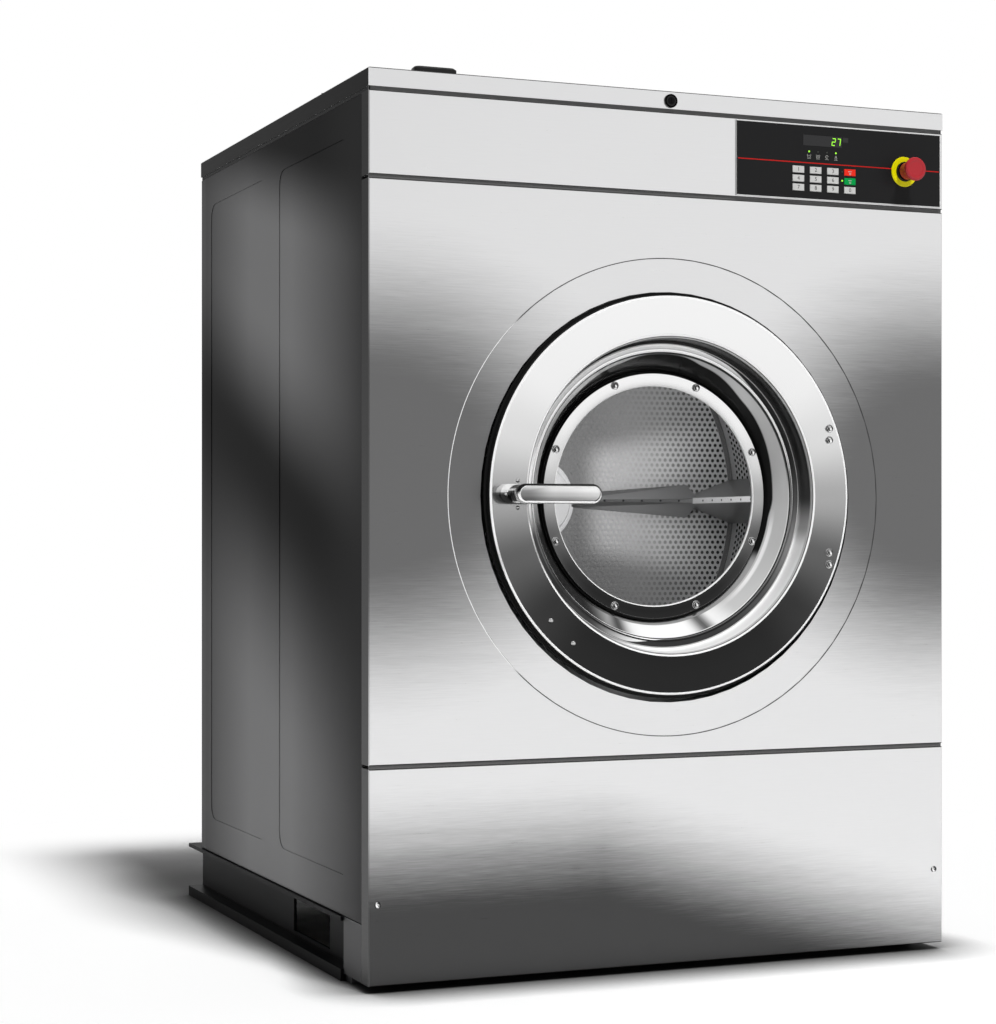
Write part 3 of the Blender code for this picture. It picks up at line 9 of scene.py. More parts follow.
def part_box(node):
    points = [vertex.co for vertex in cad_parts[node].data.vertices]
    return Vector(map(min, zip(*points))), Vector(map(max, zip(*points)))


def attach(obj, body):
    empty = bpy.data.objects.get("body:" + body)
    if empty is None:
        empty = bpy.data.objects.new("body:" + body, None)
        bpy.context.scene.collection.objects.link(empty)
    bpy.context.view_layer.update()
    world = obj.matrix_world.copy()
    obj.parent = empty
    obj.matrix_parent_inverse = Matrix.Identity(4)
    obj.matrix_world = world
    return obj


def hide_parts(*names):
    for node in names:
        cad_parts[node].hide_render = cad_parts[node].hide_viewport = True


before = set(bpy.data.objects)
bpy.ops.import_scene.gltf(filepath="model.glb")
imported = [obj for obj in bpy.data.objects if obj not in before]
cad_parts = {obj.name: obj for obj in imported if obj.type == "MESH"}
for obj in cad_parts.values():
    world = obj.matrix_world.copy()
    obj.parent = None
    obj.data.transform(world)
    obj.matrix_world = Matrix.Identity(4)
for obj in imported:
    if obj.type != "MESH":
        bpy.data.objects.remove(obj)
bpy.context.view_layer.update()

# Places taken from the frame
panel_low, panel_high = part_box("front_panel")
front = panel_low.y
left, right = panel_low.x, panel_high.x
ring_low, ring_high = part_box("door_ring")
door_z = (ring_low.z + ring_high.z) / 2
door_axis = (0.0, door_z)
overlay_low, overlay_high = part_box("control_overlay")
window_low, window_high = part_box("display_window")
control_low, control_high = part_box("control_panel")
cover_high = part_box("top_cover")[1]
lower_low, lower_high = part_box("lower_panel")
shell_low, shell_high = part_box("drum_shell")
back_low, back_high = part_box("drum_back")
side_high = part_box("side_panel_left")[1]
rear_low, rear_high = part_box("rear_panel")
inlet_low, inlet_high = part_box("water_inlet")
motor_low, motor_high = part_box("motor")

# Sizes of the fine parts, in metres
skin = 0.0003
print_rise = 0.00012
door_radius = 0.3265
door_inner_radius = 0.26
bead_inner_radius = 0.2415
door_rim_start = 0.32
door_face_depth = -0.015
clamp_face_depth = 0.055
hinge_nut_offset = 0.289
hinge_nut_heights = (-0.1135, -0.094, 0.094, 0.1135)
clamp_nut_circle = 0.1955
seam_ring_radius = 0.389
seam_ring_width = 0.0014
seam_ring_height = door_z - 0.003
handle_offset = -0.289
collar_radius = 0.0147
perforation_pitch = 0.0113
perforation_radius = 0.0034
perforated_radius = 0.416
hub_cap_radius = 0.068
lifter_crest_radius = 0.3061
cover_lock_radius = 0.011
cover_seam = 0.006
stop_place = (0.4434, 1.3307)
red_line_height = 1.3348
lamp_places = (0.258, 0.2751, 0.2923, 0.3096)
lamp_height, pictogram_height = 1.354, 1.3468
key_light_x, start_light_z, stop_light_z = 0.3218, 1.3084, 1.3235
motor_axis = (0.27, 0.265)
smooth_angle = radians(35)
bevel_angle = radians(40)

# Camera, solved from the photograph
camera_place = (-1.6842, front - 3.3501, 0.7109)
camera_turn = radians(-22.38)
camera_lens = 80.5
camera_shift_y = 0.02275

# Colours
white = (1.0, 1.0, 1.0, 1.0)
muted = (0.5, 0.5, 0.5, 1.0)
cool = (1.0, 1.0, 1.01)

def deep(depth):
    """Y of a station that lies this far behind the front panels' face."""
    return front + depth

def around(centre, radius, angle):
    """Point (x, z) at an angle on a circle about a centre."""
    return centre[0] + radius * cos(angle), centre[1] + radius * sin(angle)

class Value:
    """Output of a node. Arithmetic on it adds math nodes to the same tree."""

    def __init__(self, nodes, socket):
        self.nodes = nodes
        self.socket = socket

    def __add__(self, other):
        return self.nodes.math("ADD", self, other)

    def __sub__(self, other):
        return self.nodes.math("SUBTRACT", self, other)

    def __rsub__(self, other):
        return self.nodes.math("SUBTRACT", other, self)

    def __mul__(self, other):
        return self.nodes.math("MULTIPLY", self, other)

    def __truediv__(self, other):
        return self.nodes.math("DIVIDE", self, other)

    def __abs__(self):
        return self.nodes.math("ABSOLUTE", self)

class Nodes:
    """Adds nodes to one tree."""

    def __init__(self, tree):
        self.tree = tree

    def put(self, target, source):
        """Links a value to an input, or sets the input to a number."""
        if isinstance(source, Value):
            self.tree.links.new(source.socket, target)
        else:
            target.default_value = source

    def value(self, kind, inputs, output=0, **settings):
        """Output of a new node whose inputs are given by number or name."""
        made = self.tree.nodes.new(kind)
        for key, setting in settings.items():
            setattr(made, key, setting)
        for key, source in inputs.items():
            self.put(made.inputs[key], source)
        return Value(self, made.outputs[output])

    def math(self, operation, *terms, clamp=False):
        return self.value("ShaderNodeMath", dict(enumerate(terms)), operation=operation, use_clamp=clamp)

    def length(self, a, b):
        return self.math("SQRT", a * a + b * b)

    def split(self, vector):
        return [self.value("ShaderNodeSeparateXYZ", {0: vector}, axis) for axis in "XYZ"]

    def step(self, value, low, high, to_low=0.0, to_high=1.0):
        """Smooth step of a value between two limits."""
        inputs = dict(enumerate((value, low, high, to_low, to_high)))
        return self.value("ShaderNodeMapRange", inputs, interpolation_type="SMOOTHSTEP")

    def fall(self, value, low, high):
        """Smooth step down from 1 to 0."""
        return self.step(value, low, high, 1.0, 0.0)

    def band(self, value, low, rising, falling, high):
        """1 between two smooth steps, 0 outside them."""
        return self.step(value, low, rising) * self.fall(value, falling, high)

    def mix(self, factor, a, b):
        """Value between two values."""
        return self.value("ShaderNodeMix", {0: factor, 2: a, 3: b}, data_type="FLOAT")

    def ramp(self, factor, *stops):
        """Grey level that eases between stops of (place, level)."""
        made = self.tree.nodes.new("ShaderNodeValToRGB")
        made.color_ramp.interpolation = "EASE"
        elements = made.color_ramp.elements
        while len(elements) < len(stops):
            elements.new(0.5)
        for element, (place, level) in zip(elements, stops):
            element.position = place
            element.color = (level, level, level, 1.0)
        self.put(made.inputs[0], factor)
        return Value(self, made.outputs[0])

class Paint(Nodes):
    """Builds one material; paint["Roughness"] = x sets or feeds a socket of its shader."""

    def __init__(self, name, colour=(0.8, 0.8, 0.8), roughness=0.5, metallic=0.0):
        self.look = bpy.data.materials.new(name)
        self.look.use_nodes = True
        super().__init__(self.look.node_tree)
        self.shader = self.tree.nodes["Principled BSDF"]
        self["Base Color"] = (*colour, 1.0)
        self["Roughness"] = roughness
        self["Metallic"] = metallic

    def __setitem__(self, socket, value):
        self.put(self.shader.inputs[socket], value)

    def place(self, output):
        return self.value("ShaderNodeTexCoord", {}, output)

    def axes(self):
        """Object coordinates, which at rest are the shared frame's, in metres."""
        return self.split(self.place("Object"))

    def facing(self):
        """Parts of the surface's own normal along the axes."""
        return self.split(self.place("Normal"))

    def around_door(self):
        """Height on the circle about the door's axis, 0 at its foot and 1 at its top, and the radius."""
        x, _, z = self.axes()
        up = z - door_z
        radius = self.length(x, up)
        return up / radius * 0.5 + 0.5, radius

    def noise(self, scale, detail=3.0, roughness=0.5):
        """Noise in turns per metre, with one scale or one per axis."""
        scale = scale if isinstance(scale, tuple) else (scale,) * 3
        spot = self.value("ShaderNodeMapping", {"Vector": self.place("Object"), "Scale": scale})
        inputs = {"Vector": spot, "Scale": 1.0, "Detail": detail, "Roughness": roughness}
        return self.value("ShaderNodeTexNoise", inputs, "Fac")

    def tint(self, level, colour):
        """A grey level times a colour."""
        inputs = {0: 1.0, 6: level, 7: (*colour, 1.0)}
        return self.value("ShaderNodeMix", inputs, 2, data_type="RGBA", blend_type="MULTIPLY")

    def bump(self, height, distance, strength):
        inputs = {"Strength": strength, "Distance": distance, "Height": height}
        self["Normal"] = self.value("ShaderNodeBump", inputs)

def brushed_panel(name, dark_corner_reflections=True, return_shade=0.14, top_metallic=1.0):
    """Stainless sheet brushed along X, with painted shade on its side returns and bends, and painted
    reflections of dark room corners on request.
    """
    bend_shade = 0.08
    paint = Paint(name, roughness=0.3, metallic=1.0)
    x, _, z = paint.axes()
    streak = paint.noise((20.0, 20.0, 560.0), 4.0, 0.6)
    cloud = paint.noise((3.0, 3.0, 60.0), 3.0, 0.6)
    level = streak * 0.04 + 0.805
    if dark_corner_reflections:
        level = painted_room_corners(paint, level, x, z, streak, cloud)
    across, _, up = paint.facing()
    # Painted shade: the side returns are darker, the more so toward the top.
    return_shade_level = paint.step(z, lower_low.z, cover_high.z, return_shade, 0.3 * return_shade)
    level = paint.mix(paint.step(abs(across), 0.6, 0.9), level, return_shade_level)
    # Painted shade on the bends that face up and those that face down.
    level = paint.mix(paint.band(up, 0.25, 0.4, 0.9, 0.97), level, bend_shade)
    level = paint.mix(paint.band(up, -0.97, -0.9, -0.5, -0.25), level, bend_shade)
    if top_metallic < 1.0:
        paint["Metallic"] = paint.step(up, 0.9, 0.97, 1.0, top_metallic)
    paint["Specular Tint"] = muted
    paint["Base Color"] = paint.tint(level, (1.0, 1.0, 1.005))
    paint["Roughness"] = streak * 0.12 + 0.24
    paint.bump(streak, 0.00005, 0.3)
    return paint.look

def painted_room_corners(paint, level, x, z, streak, cloud):
    """Painted reflections of dark room corners in the brushed front: one at each side and one across the foot.
    """
    zone_height, zone_half_height = 0.812, 0.29
    ragged = cloud * 0.1 + streak * 0.16 - 0.13
    for edge, reach in ((left, 0.37), (right, 0.35)):
        away = paint.length((x - edge) / reach, (z - zone_height) / zone_half_height)
        level = level * (1.0 - paint.fall(away + ragged, 0.5, 1.42) * 0.8)
    brow = paint.math("MAXIMUM", x + 0.12, 0.0) * -0.3 + 0.235
    below = z - brow + ragged * 0.25
    return level * (1.0 - paint.fall(below, -0.115, 0.095) * 0.92)

def polished_steel(name, stops, roughness=0.05, metallic=1.0):
    """Steel with a painted reflection: its tone follows the slope of its surface, from facing down to facing
    up.
    """
    paint = Paint(name, roughness=roughness, metallic=metallic)
    paint["Base Color"] = paint.ramp(paint.facing()[2] * 0.5 + 0.5, *stops)
    paint["Roughness"] = paint.noise(30.0) * 0.05 + (roughness - 0.01)
    return paint.look

def layered_steel(name, *stops):
    """Steel with a painted reflection: a level stack of tones across the height of the handle, as it would
    mirror the room.
    """
    paint = Paint(name, roughness=0.22, metallic=0.3)
    paint["Specular Tint"] = muted
    up = (paint.axes()[2] - (door_z - collar_radius)) / (2 * collar_radius)
    paint["Base Color"] = paint.ramp(up, *stops)
    return paint.look

def nut_steel():
    """Polished nuts and screws, with a painted highlight where they face the user and painted shade around it.
    """
    paint = Paint("nut_steel", roughness=0.12, metallic=0.8)
    across, _, up = paint.facing()
    slope = across * 0.5 + 0.5 + up * 0.15
    paint["Base Color"] = paint.ramp(slope, (0.0, 0.02), (0.08, 0.03), (0.16, 0.4), (0.23, 1.0), (0.4, 1.0),
                                     (0.48, 0.5), (0.58, 0.06), (0.8, 0.04), (0.9, 0.8), (1.0, 0.9))
    return paint.look

def grip_face():
    """Flat face of the handle grip with painted light along its top and painted shade below, most at the left
    end, and lighter toward the right end.
    """
    paint = Paint("grip_face", roughness=0.35, metallic=0.5)
    paint["Specular Tint"] = muted
    x, _, z = paint.axes()
    low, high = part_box("door_handle")
    height = (z - low.z) / (high.z - low.z)
    along = (x - low.x) / (high.x - low.x)
    # Painted light and shade by height, darker at the left end.
    level = paint.ramp(height, (0.0, 0.14), (0.2, 0.26), (0.45, 0.52), (0.7, 0.76), (0.9, 0.9), (1.0, 0.95))
    left_end = paint.step(along, 0.1, 0.45, 0.4, 1.0)
    upper = paint.step(height, 0.4, 0.95)
    right_end_light = paint.step(along, 0.5, 1.0) * 0.16
    shaded = level * paint.math("MAXIMUM", left_end, upper)
    paint["Base Color"] = paint.math("ADD", shaded, right_end_light, clamp=True)
    return paint.look

def door_face():
    """Flat faces of the door rings, with a painted reflection of a bright ceiling above and a dark room below.
    """
    paint = Paint("door_face", roughness=0.14, metallic=1.0)
    height = paint.around_door()[0]
    paint["Base Color"] = paint.ramp(height, (0.0, 0.024), (0.08, 0.026), (0.18, 0.045), (0.33, 0.14),
                                     (0.5, 0.43), (0.67, 0.74), (0.82, 0.88), (1.0, 0.9))
    return paint.look

def bowl_steel():
    """Walls and rolled edges of the door rings, with painted reflections and shade in bands, as polished sheet
    mirrors its own beads.
    """
    paint = Paint("bowl_steel", roughness=0.2, metallic=0.15)
    paint["Specular Tint"] = muted
    paint["Specular IOR Level"] = 0.3
    x = paint.axes()[0]
    height, radius = paint.around_door()
    # Painted shade over the lower left of the bowl.
    lower_left_shade = paint.fall(x, -0.14, -0.03) * paint.fall(height, 0.35, 0.5)
    cone_start, cone_end, bead_start, bead_end, half_blend = 0.2136, 0.2331, 0.2358, 0.2482, 0.0003

    def crescent(start, end, share, inner, outer):
        """Tone between two radii that changes where this share of the way out is passed."""
        passed = (radius - start) / (end - start) - share
        return paint.mix(paint.step(passed, -0.05, 0.05), inner, outer)

    # Painted reflection and shade of each band, by height about the door.
    cone = paint.ramp(height, (0.0, 1.0), (0.012, 1.0), (0.03, 0.12), (0.05, 0.95), (0.1, 0.62), (0.3, 0.6),
                      (0.7, 0.66), (0.854, 0.64), (1.0, 0.5))
    # Painted highlight: a bright line across the lower cone.
    flare = paint.band(height, 0.06, 0.2, 0.35, 0.47)
    streak = paint.band(radius, 0.215, 0.2165, 0.2185, 0.221)
    cone = paint.mix(flare * streak, cone, 1.0)
    dark_share = paint.ramp(height, (0.0, 0.0), (0.4, 0.0), (0.5, 0.18), (0.854, 0.45), (0.97, 0.75),
                            (1.0, 1.0))
    cone = paint.mix(lower_left_shade, crescent(cone_start, cone_end, dark_share, 0.012, cone), 0.03)
    white_share = paint.ramp(height, (0.0, 0.0), (0.55, 0.0), (0.67, 0.12), (0.854, 0.35), (0.95, 0.85),
                             (1.0, 1.0))
    white_share = paint.math("MAXIMUM", white_share, paint.step(x, -0.08, 0.0, 0.95, 0.0))
    low_band = paint.ramp(height, (0.0, 0.03), (0.03, 0.035), (0.146, 0.07), (0.33, 0.2), (0.5, 0.07),
                          (0.67, 0.02), (1.0, 0.012))
    band = paint.mix(lower_left_shade, crescent(bead_start, bead_end, white_share, 1.0, low_band), 0.05)
    wall = paint.ramp(height, (0.0, 1.0), (0.33, 0.95), (0.4, 0.4), (0.5, 0.06), (0.67, 0.02), (1.0, 0.012))
    wall = paint.mix(lower_left_shade, wall, 0.08)
    foot = paint.ramp(height, (0.0, 0.3), (0.24, 0.4), (0.29, 0.012), (1.0, 0.012))
    foot = paint.mix(lower_left_shade, foot, 0.012)
    edge = paint.ramp(height, (0.0, 0.95), (0.5, 0.95), (0.62, 0.12), (1.0, 0.05))
    tone = 0.9
    for start, value in ((0.1835, 0.3), (0.2025, 0.015), (0.2078, foot), (cone_start, cone),
                         (cone_end, edge), (0.234, 0.03), (bead_start, band), (bead_end, 0.5),
                         (0.2499, wall), (0.2569, 0.6), (0.2582, 0.03), (0.2592, 0.95), (0.3246, 0.012)):
        tone = paint.mix(paint.step(radius, start - half_blend, start + half_blend), tone, value)
    paint["Base Color"] = tone
    return paint.look

def drum_steel(name, level=0.62, roughness=0.34, metallic=0.85):
    """Stainless of the tub and drum, dull and a little clouded."""
    paint = Paint(name, roughness=roughness, metallic=metallic)
    grain = paint.noise((40.0, 700.0, 40.0), 2.0)
    clouded = paint.noise(9.0, 4.0, 0.6) * 0.12 + grain * 0.05 + (level - 0.08)
    paint["Base Color"] = paint.tint(clouded, cool)
    paint.bump(grain, 0.00004, 0.3)
    return paint.look

def drum_light(paint):
    """Painted light on the drum's back: a tone that rises toward the right, with a painted bow-tie of light
    above and below the rear rib.
    """
    x, _, z = paint.axes()
    away = abs(abs(z - door_z) - (x * 0.2 + 0.025))
    along = paint.step(x, 0.085, 0.15) * paint.step(x, 0.25, 0.42, 0.46, 0.0)
    return paint.fall(away, 0.015, 0.075) * along + paint.step(x, 0.08, 0.34, 0.32, 0.6)

def drum_back_steel():
    """Back plate of the drum with its painted bow-tie of light."""
    paint = Paint("drum_back_steel", roughness=0.5, metallic=0.3)
    cloud = paint.noise(7.0) * 0.16 + 0.92
    paint["Base Color"] = paint.tint(drum_light(paint) * cloud, cool)
    return paint.look

def painted_hole_shade():
    """Painted shade seen through the holes: almost the plate's painted tone beside the hub, black toward the
    wall.
    """
    paint = Paint("painted_hole_shade", roughness=0.8)
    paint["Base Color"] = drum_light(paint) * paint.step(paint.axes()[0], 0.14, 0.4, 0.84, 0.02)
    paint["Specular IOR Level"] = 0.0
    return paint.look

def seam_line():
    """Pressed seam around the door opening, with a painted highlight on the left and painted shade on the
    right.
    """
    paint = Paint("seam_line", roughness=0.4, metallic=1.0)
    paint["Base Color"] = paint.step(paint.axes()[0], -0.285, -0.262, 0.98, 0.1)
    return paint.look

def painted(name, colour, roughness, texture=0.0002, grain=900.0, spread=0.08, specular=0.5):
    """Enamel with a faint orange peel and small changes of tone; the colour may be one grey level."""
    colour = colour if isinstance(colour, tuple) else (colour,) * 3
    paint = Paint(name, colour, roughness)
    paint["Specular IOR Level"] = specular
    peel = paint.noise(grain, 2.0)
    paint["Base Color"] = paint.tint(paint.noise(6.0) * (2 * spread) + (1.0 - spread), colour)
    paint["Roughness"] = peel * 0.1 + (roughness - 0.05)
    paint.bump(peel, texture, 0.25)
    return paint.look

def side_enamel():
    """Grey enamel of the side panels, with a painted reflection: a dark sweep from the rear top to the front,
    and a lighter rear edge.
    """
    paint = Paint("side_enamel", roughness=0.45, metallic=1.0)
    paint["Specular Tint"] = muted
    _, y, z = paint.axes()
    depth = y - front
    rise = depth * 0.5 + 0.048
    fall = (depth - 0.66) * -0.5 + 0.25
    across = paint.math("MINIMUM", paint.math("MINIMUM", rise, fall), 0.25)
    sweep = z - (depth * 0.36 + 0.625)
    valley = paint.fall(sweep, -0.45, -0.01) + paint.step(sweep, 0.01, 0.28)
    light = valley * paint.fall(depth * -0.24 + z, 1.12, 1.28)
    base = paint.step(depth, 0.05, 0.3) * -0.012 + 0.03
    level = (across - base) * light + base
    rear_edge = paint.step(depth, 0.952, 0.968) * 0.3 + 1.0
    paint["Base Color"] = paint.tint(level * rear_edge, cool)
    paint.bump(paint.noise(1000.0, 2.0), 0.0002, 0.15)
    return paint.look

def clear_glass():
    paint = Paint("clear_glass", (0.02, 0.022, 0.021), 0.03)
    paint["Alpha"] = 0.07
    paint["Specular IOR Level"] = 0.3
    paint["Roughness"] = paint.noise(14.0) * 0.05 + 0.01
    return paint.look

def lit(name, colour, strength):
    paint = Paint(name, colour, 0.4)
    paint["Base Color"] = paint.tint(paint.noise(900.0, 1.0) * 0.1 + 0.95, colour)
    paint["Emission Color"] = (*colour, 1.0)
    paint["Emission Strength"] = strength
    return paint.look

# Painted reflections by slope: one set bright where the surface faces up, the other dark there.
reflection_bright_above = [(0.0, 0.05), (0.3, 0.04), (0.42, 0.4), (0.48, 0.75), (0.53, 0.5), (0.62, 0.9), (0.8, 0.95),
                  (1.0, 0.8)]
reflection_dark_above = [(0.0, 0.95), (0.42, 0.95), (0.5, 0.8), (0.6, 0.02), (1.0, 0.012)]
looks = {
    "panel": brushed_panel("brushed_panel"),
    "plain_panel": brushed_panel("plain_brushed_panel", dark_corner_reflections=False),
    "cover": brushed_panel("brushed_cover", dark_corner_reflections=False, return_shade=0.07, top_metallic=0.45),
    "chrome": polished_steel("polished_steel", reflection_bright_above),
    "satin": polished_steel("satin_steel", reflection_bright_above, 0.22),
    "grip": polished_steel("grip_steel", reflection_dark_above, 0.12, 0.8),
    "collar": layered_steel("collar_steel", (0.0, 1.0), (0.07, 1.0), (0.1, 0.01), (0.56, 0.012), (0.64, 0.06),
                            (0.69, 0.9), (0.74, 0.9), (0.8, 0.12), (0.94, 0.05), (1.0, 0.3)),
    "block": layered_steel("block_steel", (0.0, 0.02), (0.12, 0.012), (0.42, 0.02), (0.54, 0.12), (0.62, 0.85),
                           (0.8, 1.0), (1.0, 1.0)),
    "grip_face": grip_face(),
    "nut": nut_steel(),
    "face": door_face(),
    # Painted shade: the door ring's outer steel wall, painted near black.
    "rim": painted("ring_edge_painted_shade", 0.012, 0.4, specular=0.04),
    "bowl": bowl_steel(),
    "seam": seam_line(),
    "gap": painted("gap_shadow", 0.1, 0.6),
    "drum": drum_steel("drum_steel", 0.74, 0.38),
    "tub": drum_steel("tub_steel", 0.6, 0.35),
    "drum_back": drum_back_steel(),
    "holes": painted_hole_shade(),
    # Painted shade and light: the lifters are a darker copy of the drum steel, their crest strips a brighter
    # one.
    "rib": drum_steel("rib_steel_painted_shade", 0.42, 0.3),
    "strip": drum_steel("strip_steel_painted_light", 1.0, 0.35, 0.3),
    "hub": drum_steel("hub_steel", 0.86, 0.3, 0.05),
    "side": side_enamel(),
    "grey": painted("grey_enamel", (0.055, 0.055, 0.057), 0.4, specular=0.15),
    "black": painted("black_enamel", (0.007, 0.007, 0.0075), 0.45, specular=0.04),
    "overlay": painted("overlay_film", (0.011, 0.011, 0.0115), 0.4, 0.00005, 2500.0, 0.04, 0.12),
    "window": painted("window_film", (0.028, 0.028, 0.029), 0.25, 0.00002, 2500.0, 0.04, 0.15),
    # Pale frame, its tone a painted highlight along the overlay's edge.
    "frame": painted("overlay_frame", 0.66, 0.4, 0.00003, 2500.0, 0.03),
    "plastic": painted("black_plastic", 0.006, 0.4, 0.0001, 1500.0, specular=0.3),
    "key": painted("key_grey", (0.56, 0.56, 0.55), 0.5, 0.00008, 2600.0, 0.04, 0.2),
    "key_stop": painted("key_red", (0.78, 0.03, 0.015), 0.5, 0.00008, 2600.0, 0.04, 0.15),
    "key_start": painted("key_green", (0.0, 0.3, 0.06), 0.5, 0.00008, 2600.0, 0.04, 0.15),
    "ink": painted("dark_ink", 0.03, 0.6, 0.00001, 2600.0, 0.04, 0.1),
    "pale_ink": painted("pale_ink", (0.5, 0.5, 0.48), 0.6, 0.00001, 2600.0, 0.04, 0.1),
    "red_ink": painted("red_ink", (0.5, 0.015, 0.012), 0.5, 0.00001, 2600.0, 0.04, 0.1),
    "yellow": painted("signal_yellow", (0.74, 0.68, 0.0), 0.4, 0.0001, 1500.0, 0.04, 0.25),
    "red": painted("signal_red", (0.4, 0.022, 0.03), 0.4, 0.0001, 1500.0, 0.05, 0.35),
    "rubber": painted("black_rubber", 0.005, 0.6, 0.0002, 700.0, specular=0.15),
    "iron": painted("cast_iron", (0.07, 0.072, 0.075), 0.55, 0.0006, 400.0),
    "motor": painted("motor_enamel", (0.05, 0.09, 0.14), 0.45, 0.0003, 500.0),
    "galvanised": drum_steel("galvanised_sheet", 0.5, 0.42),
    # Black of the cover lock, and painted shade behind the drum wall's holes.
    "dark": painted("flat_black_and_painted_shade", 0.004, 0.8, specular=0.0),
    "glass": clear_glass(),
    "green_light": lit("green_light", (0.3, 0.8, 0.04), 0.55),
    "off_light": painted("unlit_lens", (0.05, 0.055, 0.045), 0.3, 0.00002, 2600.0),
}

def scene_object(name, data):
    made = bpy.data.objects.new(name, data)
    bpy.context.scene.collection.objects.link(made)
    return made

def as_mesh(name, bm):
    mesh = bpy.data.meshes.new(name)
    bm.to_mesh(mesh)
    bm.free()
    return mesh

def evaluated_mesh(thing):
    """Mesh of an object as its modifiers or its text leave it."""
    graph = bpy.context.evaluated_depsgraph_get()
    return bpy.data.meshes.new_from_object(thing.evaluated_get(graph))

def finish_piece(name, bm, look, body):
    """Object of a bmesh, shaded smooth below the sharp angle, that rides on a CAD body."""
    bmesh.ops.recalc_face_normals(bm, faces=bm.faces[:])
    mesh = as_mesh(name, bm)
    mesh.shade_smooth()
    mesh.set_sharp_from_angle(angle=smooth_angle)
    mesh.materials.append(looks[look])
    piece = scene_object(name, mesh)
    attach(piece, body)
    return piece

def soften(profile, radius, closed=True, steps=3):
    """Profile with each corner rounded by a short curve."""
    count = len(profile)
    points = []
    for k, (r, d) in enumerate(profile):
        if not closed and k in (0, count - 1):
            points.append((r, d))
            continue
        here = Vector((r, d))
        before = Vector(profile[k - 1])
        after = Vector(profile[(k + 1) % count])
        back = min(radius, (before - here).length * 0.45)
        ahead = min(radius, (after - here).length * 0.45)
        start = here + (before - here).normalized() * back
        end = here + (after - here).normalized() * ahead
        for j in range(steps + 1):
            t = j / steps
            points.append(tuple(start * (1 - t) ** 2 + here * (2 * t * (1 - t)) + end * t ** 2))
    return points

def add_spin(bm, profile, centre, steps, closed=True, origin=front):
    """Turns (radius, depth) pairs about an axis along Y through centre; depths count from origin."""
    rows = []
    for k in range(steps):
        row = []
        for radius, depth in profile:
            x, z = around(centre, radius, 2 * pi * k / steps)
            row.append(bm.verts.new((x, origin + depth, z)))
        rows.append(row)
    count = len(profile)
    for near, far in zip(rows, rows[1:] + rows[:1]):
        for j in range(count if closed else count - 1):
            n = (j + 1) % count
            bm.faces.new((near[j], near[n], far[n], far[j]))
    bmesh.ops.remove_doubles(bm, verts=bm.verts[:], dist=1e-6)

def spun(name, look, body, profile, steps, corner=0.0, closed=True, centre=door_axis, origin=front, arc=3):
    """Turned piece whose profile's corners are rounded by a corner size."""
    if corner:
        profile = soften(profile, corner, closed, arc)
    bm = bmesh.new()
    add_spin(bm, profile, centre, steps, closed, origin)
    return finish_piece(name, bm, look, body)

def add_loft(bm, loops, caps=True):
    """Skins closed loops of points, one to the next."""
    rows = [[bm.verts.new(point) for point in loop] for loop in loops]
    count = len(rows[0])
    for near, far in zip(rows, rows[1:]):
        for k in range(count):
            j = (k + 1) % count
            bm.faces.new((near[k], near[j], far[j], far[k]))
    if caps:
        bm.faces.new(rows[0])
        bm.faces.new(rows[-1])

def lofted(name, look, body, loops):
    bm = bmesh.new()
    add_loft(bm, loops)
    return finish_piece(name, bm, look, body)

def add_disc(bm, spot, facing, radius, steps=12, rise=0.0006):
    """Small domed disc at a spot, facing a direction."""
    place = Matrix.Translation(spot) @ facing.to_track_quat("Z", "Y").to_matrix().to_4x4()
    loops = []
    for reach, height in ((1.0, -rise), (1.0, rise * 0.4), (0.75, rise)):
        ring = [around((0.0, 0.0), radius * reach, 2 * pi * k / steps) for k in range(steps)]
        loops.append([place @ Vector((*point, height)) for point in ring])
    add_loft(bm, loops)

def stadium(ends, half, inset, y, square_right=False, steps=14):
    """Bar outline about the door's height, its ends round or its right end square."""
    radius = half - inset
    points = []
    if square_right:
        points += [(ends[1] - inset, door_z - radius), (ends[1] - inset, door_z + radius)]
    else:
        for k in range(steps + 1):
            points.append(around((ends[1] - half, door_z), radius, -pi / 2 + pi * k / steps))
    for k in range(steps + 1):
        points.append(around((ends[0] + half, door_z), radius, pi / 2 + pi * k / steps))
    return [(x, y, z) for x, z in points]

def add_acorn_nut(bm, centre, seat):
    """Washer, hexagon and dome on a face at this depth, pointing to the user."""
    half_width, sides, rings = 0.0052, 6, 7
    washer = [(0.0, seat + skin), (half_width * 1.35, seat + skin), (half_width * 1.35, seat - 0.0006),
              (half_width * 1.28, seat - 0.0009), (0.0, seat - 0.0009)]
    add_spin(bm, washer, centre, 24, closed=False)
    corner = half_width / cos(pi / sides)
    loops = []
    for grow, depth in ((1.0, seat - 0.0008), (1.0, seat - 0.0037), (0.88, seat - 0.0043)):
        outline = [around(centre, corner * grow, 2 * pi * k / sides) for k in range(sides)]
        loops.append([(x, deep(depth), z) for x, z in outline])
    add_loft(bm, loops)
    dome = [(half_width * 0.86, seat - 0.004)]
    for k in range(rings + 1):
        angle = pi / 2 * k / rings
        dome.append((half_width * 0.86 * cos(angle), seat - 0.0043 - 0.0042 * sin(angle)))
    add_spin(bm, dome, centre, 20, closed=False)

def screws(name, look, body, places, seat, radius, height, socket=0.35):
    """Domed screw heads with a socket, pointing to the user."""
    rings = 6
    rim = acos(socket)
    profile = [(radius, seat + skin)]
    for k in range(rings + 1):
        angle = rim * k / rings
        profile.append((radius * cos(angle), seat - height * sin(angle) / sin(rim)))
    profile += [(radius * cos(rim), seat - height * 0.3), (0.0, seat - height * 0.2)]
    bm = bmesh.new()
    for place in places:
        add_spin(bm, profile, place, 24, closed=False)
    finish_piece(name, bm, look, body)

def repaint(name, look):
    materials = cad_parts[name].data.materials
    materials.clear()
    materials.append(looks[look])

